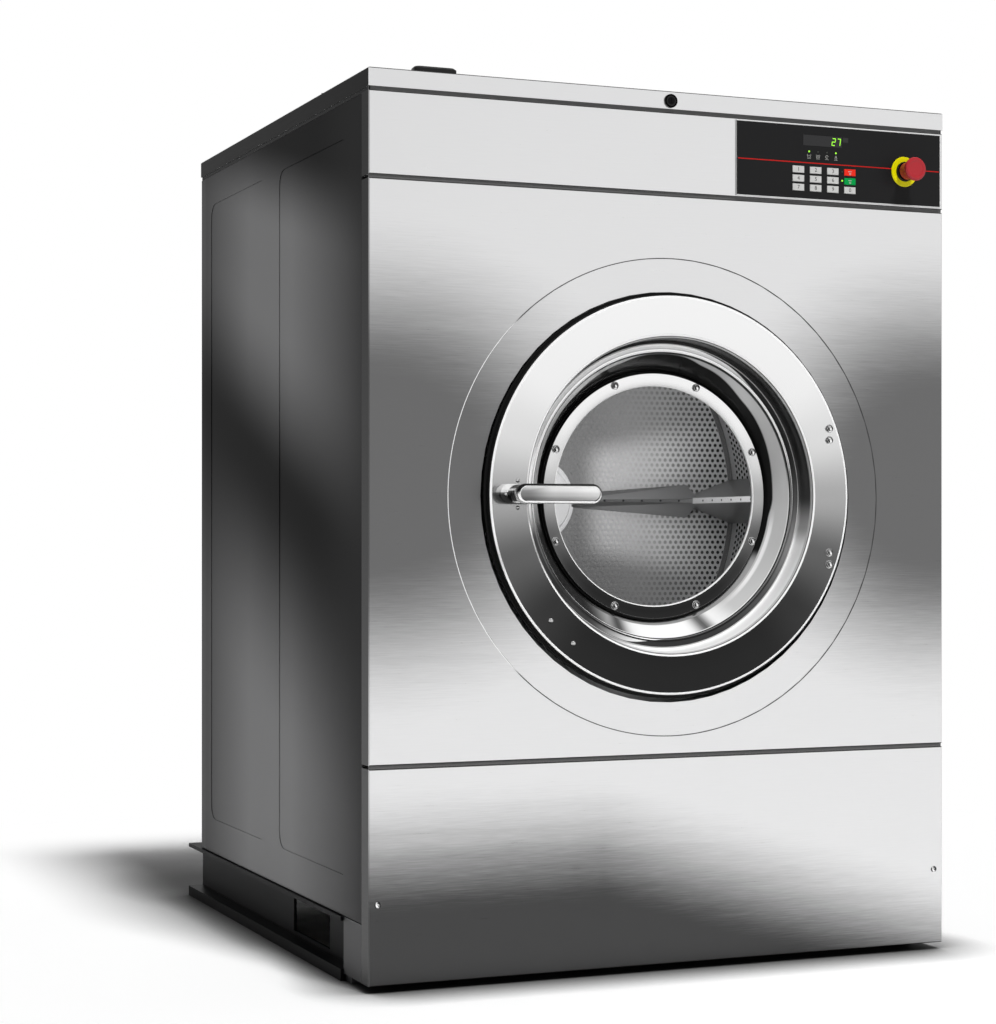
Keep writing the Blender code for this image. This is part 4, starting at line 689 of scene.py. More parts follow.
def dress_nodes():
    """Finishes and small bevels of the nodes that keep their CAD shape."""
    for look, names in (
            ("panel", "front_panel lower_panel"),
            ("plain_panel", "control_panel"),
            ("cover", "top_cover"),
            ("side", "side_panel_left side_panel_right"),
            ("grey", "base_front"),
            ("black", "rail_left rail_right base_rear a_frame hinge_bracket latch_cam"),
            ("galvanised", "rear_panel dispenser_box"),
            ("overlay", "control_overlay"),
            ("window", "display_window"),
            ("tub", "tub_shell tub_front"),
            ("drum", "drum_front"),
            ("rib", "lifter_1 lifter_2 lifter_3"),
            ("rubber", "door_gasket drive_belt"),
            ("iron", "bearing_housing drum_shaft drum_pulley motor_pulley"),
            ("satin", "bearing_front bearing_rear hinge_leaf"),
            ("motor", "motor"),
            ("plastic", "drain_valve water_inlet door_lock cover_lock dispenser_lid"),
            ("glass", "door_glass")):
        for name in names.split():
            repaint(name, look)
    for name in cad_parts:
        if name.startswith("key_"):
            repaint(name, name if name in looks else "key")
    for width, segments, names in (
            (0.0012, 3, "front_panel lower_panel control_panel top_cover"),
            (0.0008, 2, "side_panel_left side_panel_right base_front"),
            (0.0015, 2, "rail_left rail_right base_rear a_frame hinge_bracket"),
            (0.001, 2, "dispenser_lid door_lock water_inlet")):
        for name in names.split():
            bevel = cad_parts[name].modifiers.new("edge_bevel", "BEVEL")
            bevel.width = width
            bevel.segments = segments
            bevel.limit_method = "ANGLE"
            bevel.angle_limit = bevel_angle
            bevel.harden_normals = True

def second_look(piece, look, chosen):
    """Another finish for faces chosen by radius about the door's axis and by facing along Y."""
    materials = piece.data.materials
    materials.append(looks[look])
    for face in piece.data.polygons:
        if chosen(hypot(face.center.x, face.center.z - door_z), face.normal.y):
            face.material_index = len(materials) - 1

def carve(piece, low, high):
    """Cuts a rectangular notch between two corners and keeps the result as plain mesh."""
    bm = bmesh.new()
    bmesh.ops.create_cube(bm, size=1)
    bmesh.ops.scale(bm, vec=Vector(high) - Vector(low), verts=bm.verts)
    bmesh.ops.translate(bm, vec=(Vector(high) + Vector(low)) / 2, verts=bm.verts)
    cutter = scene_object("notch", as_mesh("notch", bm))
    step = piece.modifiers.new("notch", "BOOLEAN")
    step.operation = "DIFFERENCE"
    step.solver = "EXACT"
    step.object = cutter
    cut = evaluated_mesh(piece)
    piece.modifiers.remove(step)
    piece.data = cut
    bpy.data.objects.remove(cutter)

def make_door():
    """Door ring with its edge seal, glass clamp with its seal, nuts and screws."""
    flat = -0.995
    outside = [(door_radius, -0.001), (door_radius, -0.0115), (0.3252, -0.0138), (0.322, door_face_depth),
               (0.262, door_face_depth), (0.2598, -0.0142), (0.2578, -0.012), (0.2556, -0.002),
               (0.2532, 0.0165), (0.251, 0.0198), (0.2488, 0.0185), (0.2472, 0.0202),
               (bead_inner_radius, 0.0206), (0.2405, 0.02), (0.236, 0.02), (0.2328, 0.0255),
               (0.2085, 0.062), (0.207, 0.068), (0.186, 0.068)]
    inside = [(0.186, 0.0705), (0.21, 0.0705), (0.211, 0.062), (0.2345, 0.029), (0.2375, 0.0225),
              (0.251, 0.0225), (0.2557, 0.017), (0.2605, -0.009), (0.2635, -0.0125), (0.3225, -0.0125),
              (0.3235, -0.0115), (0.3235, -0.001)]
    ring = spun("door_ring_skin", "bowl", "door", outside + inside, 160, 0.0016, arc=4)
    second_look(ring, "face", lambda radius, facing: facing < flat and not (
        bead_inner_radius < radius < door_inner_radius))
    # The outer wall of the ring takes the painted shade.
    second_look(ring, "rim", lambda radius, facing: radius > door_rim_start and abs(facing) < 0.6)
    # Black rubber seal; its black also stands in for the shadow gap between the door ring and the panel.
    edge_seal = [(0.319, -0.0045), (0.33, -0.0045), (0.3308, -0.0037), (0.3308, -0.0008), (0.319, -0.0008)]
    seal = spun("door_edge_seal", "rubber", "door", edge_seal, 160)
    for piece in (ring, seal):
        carve(piece, (0.3, deep(-0.0122), door_z - 0.048), (0.34, deep(0.01), door_z + 0.048))
    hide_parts("door_ring")
    inner, outer = 0.1815, 0.2043
    clamp_profile = [(inner, 0.0594), (inner, 0.0562), (0.1826, clamp_face_depth), (0.2032, clamp_face_depth),
                     (outer, 0.0562), (outer, 0.0594)]
    clamp = spun("glass_clamp_skin", "bowl", "door", clamp_profile, 144, 0.0008)
    second_look(clamp, "face", lambda radius, facing: facing < flat)
    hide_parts("glass_clamp")
    bm = bmesh.new()
    nut_count = 8
    for k in range(nut_count):
        place = around(door_axis, clamp_nut_circle, 2 * pi * (k + 0.5) / nut_count)
        add_acorn_nut(bm, place, clamp_face_depth)
    for height in hinge_nut_heights:
        add_acorn_nut(bm, (hinge_nut_offset, door_z + height), door_face_depth)
    finish_piece("acorn_nuts", bm, "nut", "door")
    small = [(-0.22, door_z - 0.201), (-0.181, door_z - 0.238)]
    screws("door_ring_screws", "satin", "door", small, door_face_depth, 0.0044, 0.0024, 0.0)
    seal_profile = [(outer, 0.0602), (0.2062, 0.0602), (0.2066, 0.061), (0.2066, 0.0672), (outer, 0.0672)]
    spun("glass_seal", "rubber", "door", seal_profile, 96)

def make_handle():
    """Base block, collar, shaft and the long grip with a satin face in a polished rim."""
    base_low, base_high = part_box("handle_base")
    half = (base_high.z - base_low.z) / 2
    loops = []
    for inset, y in ((0.0, base_high.y), (0.0, base_low.y + 0.0025), (0.0008, base_low.y + 0.0008),
                     (0.0025, base_low.y)):
        loops.append(stadium((base_low.x, base_high.x), half, inset, y, square_right=True))
    base = lofted("handle_base_skin", "block", "door", loops)
    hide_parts("handle_base")
    screws("handle_screws", "chrome", "door", [(-0.277, door_z - 0.0215), (-0.277, door_z + 0.0215)],
           door_face_depth, 0.0034, 0.0024)
    screws("handle_base_screw", "chrome", "door", [(base_low.x + half * 0.72, door_z)], base_low.y - front,
           0.0052, 0.003)
    seat = base_low.y - skin - front
    groove = 0.0136
    collar = [(0.0, -0.0615), (collar_radius, -0.0615), (collar_radius, -0.056), (groove, -0.055),
              (groove, -0.0535), (collar_radius, -0.0525), (collar_radius, seat - 0.004),
              (groove, seat - 0.003), (groove, seat), (0.0085, seat), (0.0085, 0.013), (0.0, 0.013)]
    shaft = spun("handle_shaft_skin", "collar", "handle", collar, 64, 0.0008, False, (handle_offset, door_z))
    grip_low, grip_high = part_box("door_handle")
    grip_half = (grip_high.z - grip_low.z) / 2
    face, back = grip_low.y - front, -0.06

    def bar(name, look, sections):
        ends = (grip_low.x, grip_high.x)
        return lofted(name, look, "handle", [stadium(ends, grip_half, inset, deep(depth))
                                             for inset, depth in sections])

    grip = bar("handle_grip_skin", "grip", [
        (0.0045, back), (0.0015, back - 0.0012), (0.0, back - 0.004), (0.0, face + 0.0042),
        (0.0006, face + 0.0022), (0.0018, face + 0.0007), (0.0034, face), (0.0044, face + 0.0002),
        (0.0049, face + 0.0009)])
    bar("handle_grip_face", "grip_face", [(0.0049, face + 0.0012), (0.0052, face + 0.0004), (0.0068, face)])
    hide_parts("door_handle")

def add_hole_cell(bm, place, centre, pitch, corners):
    """One cell of a perforated sheet: a hexagon with a round hole, laid out by place(a, b)."""
    sides = 6
    outer, inner = [], []
    for k in range(sides):
        angle = pi / 6 + pi / 3 * k
        a, b = around(centre, pitch / sqrt(3), angle)
        key = (round(a / pitch * 50), round(b / pitch * 50))
        if key not in corners:
            corners[key] = bm.verts.new(place(a, b))
        outer.append(corners[key])
        for turn in (0.0, pi / 6):
            inner.append(bm.verts.new(place(*around(centre, perforation_radius, angle + turn))))
    for k in range(sides):
        j = (k + 1) % sides
        first, middle, last = inner[2 * k], inner[2 * k + 1], inner[(2 * k + 2) % (2 * sides)]
        bm.faces.new((outer[k], outer[j], last, middle, first))

def perforated_back():
    """Back plate of the drum with its staggered holes, margin, hub cap and a backing painted with the holes'
    shade.
    """
    y = back_high.y - 0.003
    bm = bmesh.new()
    corners = {}
    row_pitch = perforation_pitch * sin(pi / 3)
    rows = int(perforated_radius / row_pitch)
    columns = int(perforated_radius / perforation_pitch) + 1
    for row in range(-rows, rows + 1):
        up = row * row_pitch
        shift = perforation_pitch / 2 if row % 2 else 0.0
        for column in range(-columns, columns + 1):
            across = column * perforation_pitch + shift
            if hub_cap_radius + 0.002 < hypot(across, up) < perforated_radius:
                add_hole_cell(bm, lambda a, b: (a, y, door_z + b), (across, up), perforation_pitch, corners)
    plate = finish_piece("drum_back_sheet", bm, "drum_back", "drum")
    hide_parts("drum_back")
    inner, outer = perforated_radius - 0.006, shell_high.x - 0.0016
    margin = [(inner, y + 0.0004), (outer - 0.008, y + 0.0004), (outer - 0.002, y - 0.002),
              (outer, y - 0.008), (outer, y + 0.0025), (inner, y + 0.0025)]
    rim = spun("drum_back_margin", "drum_back", "drum", margin, 144, 0.001, origin=0.0)
    # Painted shadow along the outer edge of the margin, where the plate meets the wall.
    second_look(rim, "gap", lambda radius, facing: radius > outer - 0.0065)
    # Painted shade: a backing behind the holes carries the holes' shade.
    backing = [(0.0, y + 0.0008), (outer, y + 0.0008), (outer, y + 0.0018), (0.0, y + 0.0018)]
    spun("drum_back_backing", "holes", "drum", backing, 96, closed=False, origin=0.0)
    cap = [(hub_cap_radius + 0.012, y - 0.0004), (hub_cap_radius + 0.011, y - 0.0014),
           (hub_cap_radius + 0.001, y - 0.0016), (hub_cap_radius, y - 0.003),
           (hub_cap_radius, back_low.y + 0.003), (hub_cap_radius - 0.003, back_low.y), (0.0, back_low.y)]
    spun("drum_hub_cap", "hub", "drum", cap, 96, 0.0008, False, origin=0.0)

def perforated_wall():
    """Cylinder of the drum with its holes, between two plain bands."""
    radius, outer = shell_high.x - 0.0015, shell_high.x
    start, end = shell_low.y + 0.004, shell_high.y - 0.012
    columns = round(2 * pi * radius / perforation_pitch)
    pitch = 2 * pi * radius / columns
    row_pitch = pitch * sin(pi / 3)
    rows = int((end - start) / row_pitch)
    bm = bmesh.new()
    corners = {}

    def wrap(a, b):
        x, z = around(door_axis, radius, a / radius)
        return x, start + b, z

    for row in range(rows):
        shift = pitch / 2 if row % 2 else 0.0
        for column in range(columns):
            add_hole_cell(bm, wrap, (column * pitch + shift, (row + 0.7) * row_pitch), pitch, corners)
    bmesh.ops.remove_doubles(bm, verts=bm.verts[:], dist=0.0003)
    wall = finish_piece("drum_wall_sheet", bm, "drum", "drum")
    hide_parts("drum_shell")
    bm = bmesh.new()
    for low, high in ((shell_low.y, start + pitch * 0.5), (start + (rows - 0.4) * row_pitch, shell_high.y)):
        band = [(radius, low), (outer, low), (outer, high), (radius, high)]
        add_spin(bm, band, door_axis, 168, origin=0.0)
    finish_piece("drum_wall_bands", bm, "drum", "drum")
    # Painted shade: a black jacket behind the wall's holes.
    jacket = [(outer - skin, shell_low.y), (outer, shell_low.y), (outer, shell_high.y),
              (outer - skin, shell_high.y)]
    spun("drum_wall_backing", "dark", "drum", jacket, 168, origin=0.0)

def make_lifter_trim():
    """Crest strips, bright with painted light, with their screws, and the row of holes down each rear rib."""
    centre = Vector((0.0, 0.0, door_z))
    half, rise = 0.0055, 0.0012
    screw_pitch, hole_start, hole_pitch, hole_count = 0.037, 0.098, 0.036, 6
    near, far = shell_low.y + 0.006, back_low.y - 0.03
    section = ((-half, 0.0), (half, 0.0), (half * 0.8, -rise), (-half * 0.8, -rise))
    bm = bmesh.new()
    holes = bmesh.new()
    for index in range(3):
        turn = 2 * pi * index / 3
        outward = Vector((cos(turn), 0.0, sin(turn)))
        across = Vector((-sin(turn), 0.0, cos(turn)))
        base = centre + outward * (lifter_crest_radius + 0.0002)
        add_loft(bm, [[base + across * s + outward * r + Vector((0.0, y, 0.0)) for s, r in section]
                      for y in (near, far)])
        for k in range(int((far - near) / screw_pitch)):
            spot = base - outward * (rise + 0.0002) + Vector((0.0, near + screw_pitch * (k + 0.5), 0.0))
            add_disc(holes, spot, -outward, 0.0019)
        for k in range(hole_count):
            radius = hole_start + hole_pitch * k
            rib = 0.012 + (0.05 - 0.012) * (radius - 0.075) / (lifter_crest_radius - 0.065)
            slope = Vector((0.0, -1.0, 0.0)) - outward * 0.16
            spot = centre + outward * radius + Vector((0.0, back_high.y - 0.0033 - rib - 0.0004, 0.0))
            add_disc(holes, spot, slope.normalized(), 0.0021)
    finish_piece("lifter_crest_strips", bm, "strip", "drum")
    finish_piece("lifter_screws", holes, "ink", "drum")

def printed(name, lines, width, y, look, body):
    """Flat printed lines through (x, z) points, a hair proud of their surface."""
    bm = bmesh.new()
    for points in lines:
        for start, end in zip(points, points[1:]):
            a, b = Vector(start), Vector(end)
            run = (b - a).normalized()
            side = Vector((-run[1], run[0])) * width / 2
            corners = (a - side, b - side, b + side, a + side)
            add_loft(bm, [[(p[0], level, p[1]) for p in corners] for level in (y, y - print_rise)])
    finish_piece(name, bm, look, body)

def make_overlay():
    """Frame, red line, lamps, pictograms and lit figures of the control overlay."""
    y = overlay_low.y
    width, proud, left_bar = 0.0013, 0.0005, 0.3
    outer_left, outer_low = overlay_low.x - width * 0.2, overlay_low.z - width * 0.2
    outer_right, outer_high = overlay_high.x + width * 0.6, overlay_high.z + width * 0.2
    loops = []
    for grow, depth in ((0.0, y + 0.0012), (0.0, y - proud * 0.7), (0.0004, y - proud),
                        (width - 0.0003, y - proud), (width, y - proud * 0.7), (width, y + 0.0002)):
        start, end = outer_left + grow * left_bar, outer_right - grow
        low, high = outer_low + grow, outer_high - grow
        loops.append([(start, depth, low), (end, depth, low), (end, depth, high), (start, depth, high)])
    # The frame's pale tone is a painted highlight along the overlay's edge, narrow on the left.
    bm = bmesh.new()
    add_loft(bm, loops, caps=False)
    finish_piece("overlay_frame", bm, "frame", "machine")
    red_line = [(overlay_low.x + 0.0028, red_line_height), (overlay_high.x - 0.0022, red_line_height)]
    printed("overlay_red_line", [red_line], 0.0017, y, "red_ink", "machine")
    lamps = [(x, lamp_height) for x in lamp_places]
    for name, places, look, radius in (
            ("lamps_lit", [lamps[0], lamps[3], (key_light_x, start_light_z)], "green_light", 0.0016),
            ("lamps_dark", [lamps[1], lamps[2], (key_light_x, stop_light_z)], "off_light", 0.0011)):
        bm = bmesh.new()
        for x, z in places:
            add_disc(bm, Vector((x, y - 0.0002, z)), Vector((0.0, -1.0, 0.0)), radius)
        finish_piece(name, bm, look, "machine")
    lines = []
    for kind, x in enumerate(lamp_places):
        lines += pictogram(x, pictogram_height, kind)
    printed("pictograms", lines, 0.00045, y, "pale_ink", "machine")
    make_figures()
    shade = [(window_high.x + start, window_high.z - 0.0056) for start in (0.0008, 0.0112)]
    printed("display_shade", [shade], 0.0082, y, "window", "machine")

def pictogram(x, z, kind):
    """Small line drawing of a wash step: tub, rinse, spin or lock."""
    w, h = 0.0034, 0.0026

    def line(*points):
        return [(x + a, z + b) for a, b in points]

    tub = line((-w, h), (-w * 0.8, -h), (w * 0.8, -h), (w, h))
    caption = [line((-w, -h * 1.75), (w, -h * 1.75))]
    if kind == 0:
        return [tub, line((-w * 0.5, h * 0.2), (w * 0.5, h * 0.2))] + caption
    if kind == 1:
        return [tub, line((-w * 0.5, h * 0.5), (w * 0.5, h * 0.5)),
                line((-w * 0.5, -h * 0.2), (w * 0.5, -h * 0.2))] + caption
    if kind == 2:
        arc = [around((x, z), h, radians(a)) for a in range(0, 330, 30)]
        return [arc, line((-h * 0.4, 0.0), (h * 0.4, 0.0))] + caption
    body = line((-h * 0.7, -h), (h * 0.7, -h), (h * 0.7, 0.0), (-h * 0.7, 0.0), (-h * 0.7, -h))
    bow = line((-h * 0.4, 0.0), (-h * 0.4, h * 0.9), (h * 0.4, h * 0.9), (h * 0.4, 0.0))
    return [body, bow] + caption

def make_figures():
    """Two lit figures at the right of the display, built from straight strokes."""
    height, width, lean, pitch = 0.0115, 0.0056, 0.0016, 0.0098
    base = window_low.z + 0.0042
    segments = {"2": "abged", "7": "abc"}
    ends = {"a": ("tl", "tr"), "b": ("tr", "mr"), "c": ("mr", "br"), "d": ("bl", "br"), "e": ("ml", "bl"),
            "g": ("ml", "mr")}
    lines = []
    for k, figure in enumerate("27"):
        x = window_high.x - 0.0205 + pitch * k
        corner = {}
        for level, share in (("t", 1.0), ("m", 0.5), ("b", 0.0)):
            corner[level + "l"] = (x + lean * share, base + height * share)
            corner[level + "r"] = (x + width + lean * share, base + height * share)
        for segment in segments[figure]:
            lines.append([corner[end] for end in ends[segment]])
    printed("display_figures", lines, 0.0014, window_low.y, "green_light", "machine")

def make_key_legends():
    """Figures on the keys, and plain marks on the red and green ones."""
    half_bar, bar_up, ring_down, ring_radius = 0.0034, 0.0015, 0.0022, 0.0014
    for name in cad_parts:
        if not name.startswith("key_"):
            continue
        low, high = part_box(name)
        x, z = (low.x + high.x) / 2, (low.z + high.z) / 2
        label = name.split("_")[1]
        body = "button_" + label
        if label.isdigit():
            add_text(f"legend_{label}", label, (x, z), low.y, "ink", body)
            continue
        ring = [around((x, z - ring_down), ring_radius, radians(a)) for a in range(0, 361, 30)]
        lines = [[(x - half_bar, z + bar_up), (x + half_bar, z + bar_up)], ring]
        printed(f"legend_{label}", lines, 0.0008, low.y, "pale_ink", body)

def add_text(name, words, middle, y, look, body):
    """Raised print turned into a mesh, facing the user."""
    height, rise = 0.0066, 0.00006
    curve = bpy.data.curves.new(name, "FONT")
    curve.body = words
    curve.size = height * 1.35
    curve.extrude = rise
    curve.align_x = "CENTER"
    curve.align_y = "CENTER"
    text = scene_object(name, curve)
    mesh = evaluated_mesh(text)
    bpy.data.objects.remove(text)
    mesh.transform(Matrix.Translation((middle[0], y - rise, middle[1])) @ Matrix.Rotation(pi / 2, 4, "X"))
    mesh.materials.clear()
    mesh.materials.append(looks[look])
    piece = scene_object(name, mesh)
    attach(piece, body)

def make_stop_button():
    """Yellow ring, black neck and body, red sleeve and mushroom head."""
    y = overlay_low.y - front
    ring = [(0.0165, y - skin), (0.0255, y - skin), (0.0255, y - 0.0012), (0.0246, y - 0.0021),
            (0.0175, y - 0.0026), (0.0165, y - 0.0026)]
    yellow = spun("stop_ring_skin", "yellow", "machine", ring, 72, 0.0006, centre=stop_place)
    neck = [(0.0118, y - skin), (0.0168, y - skin), (0.0168, y - 0.0042), (0.0158, y - 0.0062),
            (0.0151, y - 0.0062), (0.0151, y - 0.0032), (0.0118, y - 0.0032)]
    spun("stop_neck", "plastic", "machine", neck, 64, 0.0005, centre=stop_place)
    rear = [(0.0082, y), (0.011, y), (0.011, 0.0023), (0.016, 0.0023), (0.016, 0.0123), (0.011, 0.0123),
            (0.011, 0.03), (0.0082, 0.03)]
    spun("stop_body", "plastic", "machine", rear, 32, centre=stop_place)
    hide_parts("estop_collar")
    sleeve = [(0.0123, -0.011), (0.0143, -0.011), (0.0145, -0.0225), (0.0152, -0.0285), (0.0166, -0.032),
              (0.0, -0.032), (0.0, -0.029), (0.0123, -0.029)]
    red = spun("stop_sleeve_skin", "red", "stop_plunger", sleeve, 64, 0.0004, centre=stop_place)
    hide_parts("estop_plunger")
    head = [(0.0, -0.0398), (0.0125, -0.0398), (0.0136, -0.0402), (0.0145, -0.0405), (0.0178, -0.0402),
            (0.0193, -0.0392), (0.02, -0.0372), (0.0199, -0.035), (0.0188, -0.0331), (0.0166, -0.0323),
            (0.0, -0.0323)]
    cap = spun("stop_head_skin", "red", "stop_head", head, 80, 0.0007, False, stop_place)
    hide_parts("estop_head")

def make_front_fasteners():
    """Screws of the lower panel and the slotted face of the cover lock."""
    height = lower_low.z + 0.126
    screws("lower_panel_screws", "nut", "machine", [(left + 0.015, height), (right - 0.017, height)], 0.0,
           0.0055, 0.0034)
    lock_low, lock_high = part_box("cover_lock")
    y = lock_low.y - front
    centre = (0.0, lock_high.z - cover_lock_radius)
    rim = [(0.0086, y + 0.0012), (cover_lock_radius, y + 0.0012), (0.0112, y - 0.0004), (0.0104, y - 0.0012),
           (0.009, y - 0.0012), (0.0084, y - 0.0004)]
    spun("cover_lock_rim", "dark", "cover_cam_lock", rim, 64, 0.0004, centre=centre)
    core = [(0.0, y - 0.0003), (0.0058, y - 0.0003), (0.0062, y - 0.0001), (0.0062, y + 0.0004),
            (0.0, y + 0.0004)]
    spun("cover_lock_core", "black", "cover_cam_lock", core, 40, closed=False, centre=centre)
    half, reach, corner, steps = 0.0007, 0.0042, 0.0005, 5
    outline = []
    for quarter, (across, up) in enumerate(((1, 1), (-1, 1), (-1, -1), (1, -1))):
        middle = (across * (half - corner), centre[1] + up * (reach - corner))
        outline += [around(middle, corner, (quarter + k / steps) * pi / 2) for k in range(steps + 1)]
    lofted("cover_lock_slot", "dark", "cover_cam_lock",
           [[(x, deep(depth), z) for x, z in outline] for depth in (y, y - 0.0004)])

def make_seams():
    """Pressed ring around the door opening, and recessed strips behind the panel gaps that carry the gaps'
    painted shade.
    """
    outer = seam_ring_radius + seam_ring_width
    ring = [(seam_ring_radius, skin), (seam_ring_radius, -skin), (outer, -skin), (outer, skin)]
    spun("seam_ring", "seam", "machine", ring, 180, centre=(0.0, seam_ring_height))
    inset, near, far = 0.0012, deep(0.0024), deep(0.006)
    cover_gap = (side_high.z, side_high.z + cover_seam)
    bm = bmesh.new()
    for low, high in ((lower_high.z, panel_low.z), (panel_high.z, control_low.z), cover_gap):
        outline = [(left + inset, low - skin), (right - inset, low - skin), (right - inset, high + skin),
                   (left + inset, high + skin)]
        add_loft(bm, [[(x, y, z) for x, z in outline] for y in (near, far)])
    finish_piece("gap_strips", bm, "gap", "machine")
    # Painted shade: black strips in the gap under the cover at each side.
    bm = bmesh.new()
    low, high = cover_gap
    for side in (left, right):
        a, b = sorted((side * 0.9975, side * 0.994))
        add_loft(bm, [[(a, y, low), (b, y, low), (b, y, high), (a, y, high)]
                      for y in (near, rear_low.y - skin)])
    finish_piece("side_gap_strips", bm, "black", "machine")

def make_rear_details():
    """Louvres and screws of the rear panel, and ribbed caps on the two water inlets."""
    y = rear_low.y + 0.002
    louvre_start, louvre_pitch, louvre_count, half, taper = 0.62, 0.022, 9, 0.11, 0.006
    section = [(0.0, 0.008), (0.0045, 0.0035), (0.005, 0.0015), (0.0, -0.001)]
    stations = ((-half, 0.15), (taper - half, 1.0), (half - taper, 1.0), (half, 0.15))
    bm = bmesh.new()
    for centre in (-0.27, 0.27):
        for k in range(louvre_count):
            z = louvre_start + louvre_pitch * k
            add_loft(bm, [[(centre + x, y + out * squash - 0.0002, z + up) for out, up in section]
                          for x, squash in stations])
    finish_piece("rear_louvres", bm, "galvanised", "machine")
    margin, columns, rows = 0.02, 6, 5
    span, height = rear_high.x - rear_low.x - 2 * margin, control_high.z - rear_low.z
    spots = []
    for k in range(columns):
        x = rear_low.x + margin + span * k / (columns - 1)
        spots += [(x, rear_low.z + 0.015), (x, control_high.z - 0.075)]
    for x in (rear_low.x + margin, rear_high.x - margin):
        spots += [(x, rear_low.z + height * k / rows) for k in range(1, rows)]
    bm = bmesh.new()
    for x, z in spots:
        add_disc(bm, Vector((x, y, z)), Vector((0.0, 1.0, 0.0)), 0.005, 20, 0.0018)
    finish_piece("rear_screws", bm, "satin", "machine")
    ribs, cap_radius, offset = 24, 0.0158, 0.04
    middle_x, middle_z = (inlet_low.x + inlet_high.x) / 2, (inlet_low.z + inlet_high.z) / 2
    for k, look in ((-1, "key_stop"), (1, "motor")):
        centre = (middle_x + k * offset, middle_z)
        loops = []
        for depth, grow in ((-0.016, 1.0), (-0.002, 1.0), (0.001, 0.86)):
            outline = [around(centre, cap_radius * grow * (1.0 + 0.05 * (j % 2)), pi * j / ribs)
                       for j in range(2 * ribs)]
            loops.append([(x, inlet_high.y + depth, z) for x, z in outline])
        lofted(f"inlet_cap_{k + 1}", look, "machine", loops)

def make_drive_details():
    """Cooling fins of the motor, and bolts of the A-frame."""
    fin_count, fin_foot, fin_top, half, open_below = 36, 0.098, 0.108, 0.0012, -0.55
    bm = bmesh.new()
    for k in range(fin_count):
        angle = 2 * pi * k / fin_count
        if sin(angle) < open_below:
            continue
        out = Vector((cos(angle), 0.0, sin(angle)))
        side = Vector((-sin(angle), 0.0, cos(angle))) * half
        loops = []
        for y in (motor_low.y + 0.03, motor_high.y - 0.03):
            base = Vector((motor_axis[0], y, motor_axis[1]))
            loops.append([base + out * fin_foot - side, base + out * fin_foot + side,
                          base + out * fin_top + side * 0.6, base + out * fin_top - side * 0.6])
        add_loft(bm, loops)
    finish_piece("motor_fins", bm, "motor", "machine")
    frame_low, frame_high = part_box("a_frame")
    bolt_circle, flange = 0.128, 0.0153
    spots = []
    for k in range(8):
        x, z = around(door_axis, bolt_circle, pi / 8 + pi / 4 * k)
        spots.append((x, frame_high.y + flange, z))
    spots += [(x, frame_high.y, frame_low.z + 0.03) for x in (-0.47, -0.43, 0.43, 0.47)]
    bm = bmesh.new()
    for spot in spots:
        add_disc(bm, Vector(spot), Vector((0.0, 1.0, 0.0)), 0.009, 6, 0.006)
    finish_piece("frame_bolts", bm, "satin", "machine")

def make_floor():
    """White ground with painted contact shade where it meets the machine and a painted shadow behind each
    rail, that fades to the white of the backdrop.
    """
    half_size = 14.0
    bm = bmesh.new()
    bmesh.ops.create_grid(bm, x_segments=1, y_segments=1, size=half_size)
    mesh = as_mesh("floor", bm)
    paint = Paint("floor_white", roughness=0.7)
    # Painted contact shade from ambient occlusion, darkening the floor near the machine.
    contact_shade = paint.value("ShaderNodeAmbientOcclusion", {"Distance": 0.12}, "AO", samples=16)
    level = contact_shade * contact_shade * contact_shade * (paint.noise(3.0, 2.0) * 0.01 + 1.04)
    x, y, _ = paint.axes()
    rear = rear_high.y
    beside = abs(x) - right
    beyond = abs(y - (front + rear) / 2) - (rear - front) / 2
    distance = paint.length(paint.math("MAXIMUM", beside, 0.0), paint.math("MAXIMUM", beyond, 0.0))
    # Painted shadow: a dark patch behind the rear end of each rail.
    shade_inset, shade_behind, shade_squeeze = 0.07, 0.18, 0.6
    rear_shadow_reach = paint.length(beside + shade_inset, (y - (rear + shade_behind)) * shade_squeeze)
    paint["Base Color"] = level * paint.step(rear_shadow_reach, 0.05, 0.25, 0.22, 1.0)
    shaded = Value(paint, paint.shader.outputs[0])
    glow = paint.value("ShaderNodeEmission", {"Color": white})
    mixed = paint.value("ShaderNodeMixShader", {0: paint.step(distance, 0.5, 1.3), 1: shaded, 2: glow})
    paint.put(paint.tree.nodes["Material Output"].inputs["Surface"], mixed)
    mesh.materials.append(paint.look)
    floor = scene_object("floor", mesh)

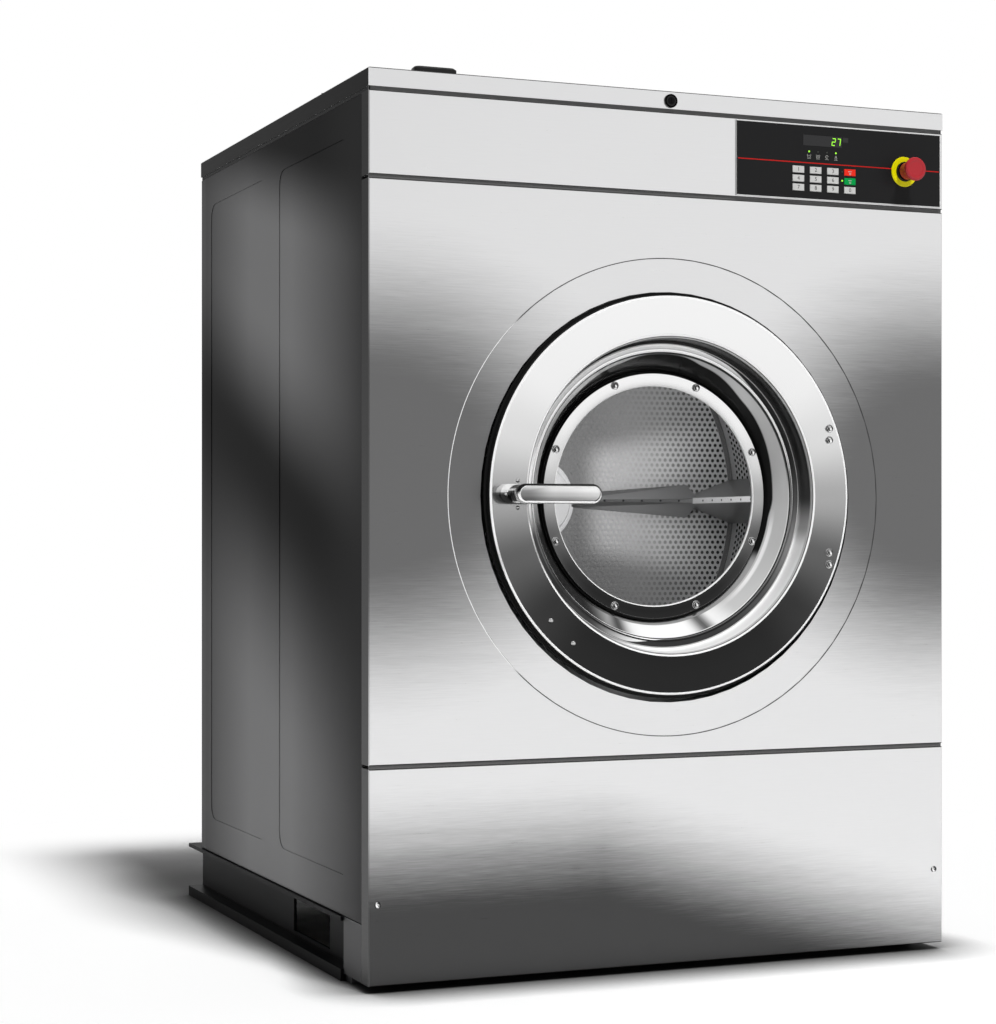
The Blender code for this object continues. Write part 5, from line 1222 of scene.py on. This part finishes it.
def make_world():
    """Even white room, which metal sees as bright panels with dark gaps between them."""
    world = bpy.data.worlds.new("studio")
    world.use_nodes = True
    world.node_tree.nodes.clear()
    nodes = Nodes(world.node_tree)
    x, _, z = nodes.split(nodes.value("ShaderNodeTexCoord", {}, "Generated"))
    up = nodes.ramp(z * 0.5 + 0.5, (0.0, 0.35), (0.46, 0.5), (0.52, 1.0), (0.68, 1.0), (0.74, 0.12),
                    (0.82, 0.12), (0.88, 1.0), (1.0, 1.0))
    across = nodes.ramp(x * 0.5 + 0.5, (0.0, 0.5), (0.12, 0.5), (0.2, 1.0), (0.42, 1.0), (0.47, 0.15),
                        (0.53, 0.15), (0.58, 1.0), (0.84, 1.0), (0.92, 0.5), (1.0, 0.5))

    def background(colour, strength=1.0):
        return nodes.value("ShaderNodeBackground", {"Color": colour, "Strength": strength})

    def ray(kind):
        return nodes.value("ShaderNodeLightPath", {}, f"Is {kind} Ray")

    unseen = nodes.value("ShaderNodeMixShader", {0: ray("Glossy"), 1: background(white, 0.07),
                                                 2: background(up * across)})
    direct = nodes.math("MAXIMUM", ray("Camera"), ray("Transmission"))
    shown = nodes.value("ShaderNodeMixShader", {0: direct, 1: unseen, 2: background(white)})
    nodes.put(nodes.tree.nodes.new("ShaderNodeOutputWorld").inputs["Surface"], shown)
    bpy.context.scene.world = world

def lamp(name, kind, direction, power):
    """Light that shines against a direction and isn't mirrored."""
    data = bpy.data.lights.new(name, kind)
    data.energy = power
    made = scene_object(name, data)
    made.rotation_euler = direction.to_track_quat("Z", "Y").to_euler()
    made.visible_glossy = False
    return made

def make_lights():
    sun = lamp("key_lamp", "SUN", Vector((0.09, -0.6, 1.0)), 3.4)
    sun.data.angle = radians(11.0)
    place, aim = Vector((0.06, deep(0.128), door_z + 0.1)), Vector((0.05, deep(0.56), door_z))
    drum = lamp("drum_lamp", "AREA", place - aim, 1.6)
    drum.data.shape = "SQUARE"
    drum.data.size = 0.22
    drum.location = place
    drum.visible_camera = False

def make_camera():
    data = bpy.data.cameras.new("camera")
    data.lens = camera_lens
    data.sensor_width = 36.0
    data.shift_y = camera_shift_y
    camera = scene_object("camera", data)
    camera.location = camera_place
    camera.rotation_euler = (pi / 2, 0.0, camera_turn)
    bpy.context.scene.camera = camera

dress_nodes()
make_door()
make_handle()
perforated_back()
perforated_wall()
make_lifter_trim()
make_overlay()
make_key_legends()
make_stop_button()
make_front_fasteners()
make_seams()
make_rear_details()
make_drive_details()
make_floor()
make_world()
make_lights()
make_camera()
bpy.context.scene.view_settings.view_transform = "Standard"
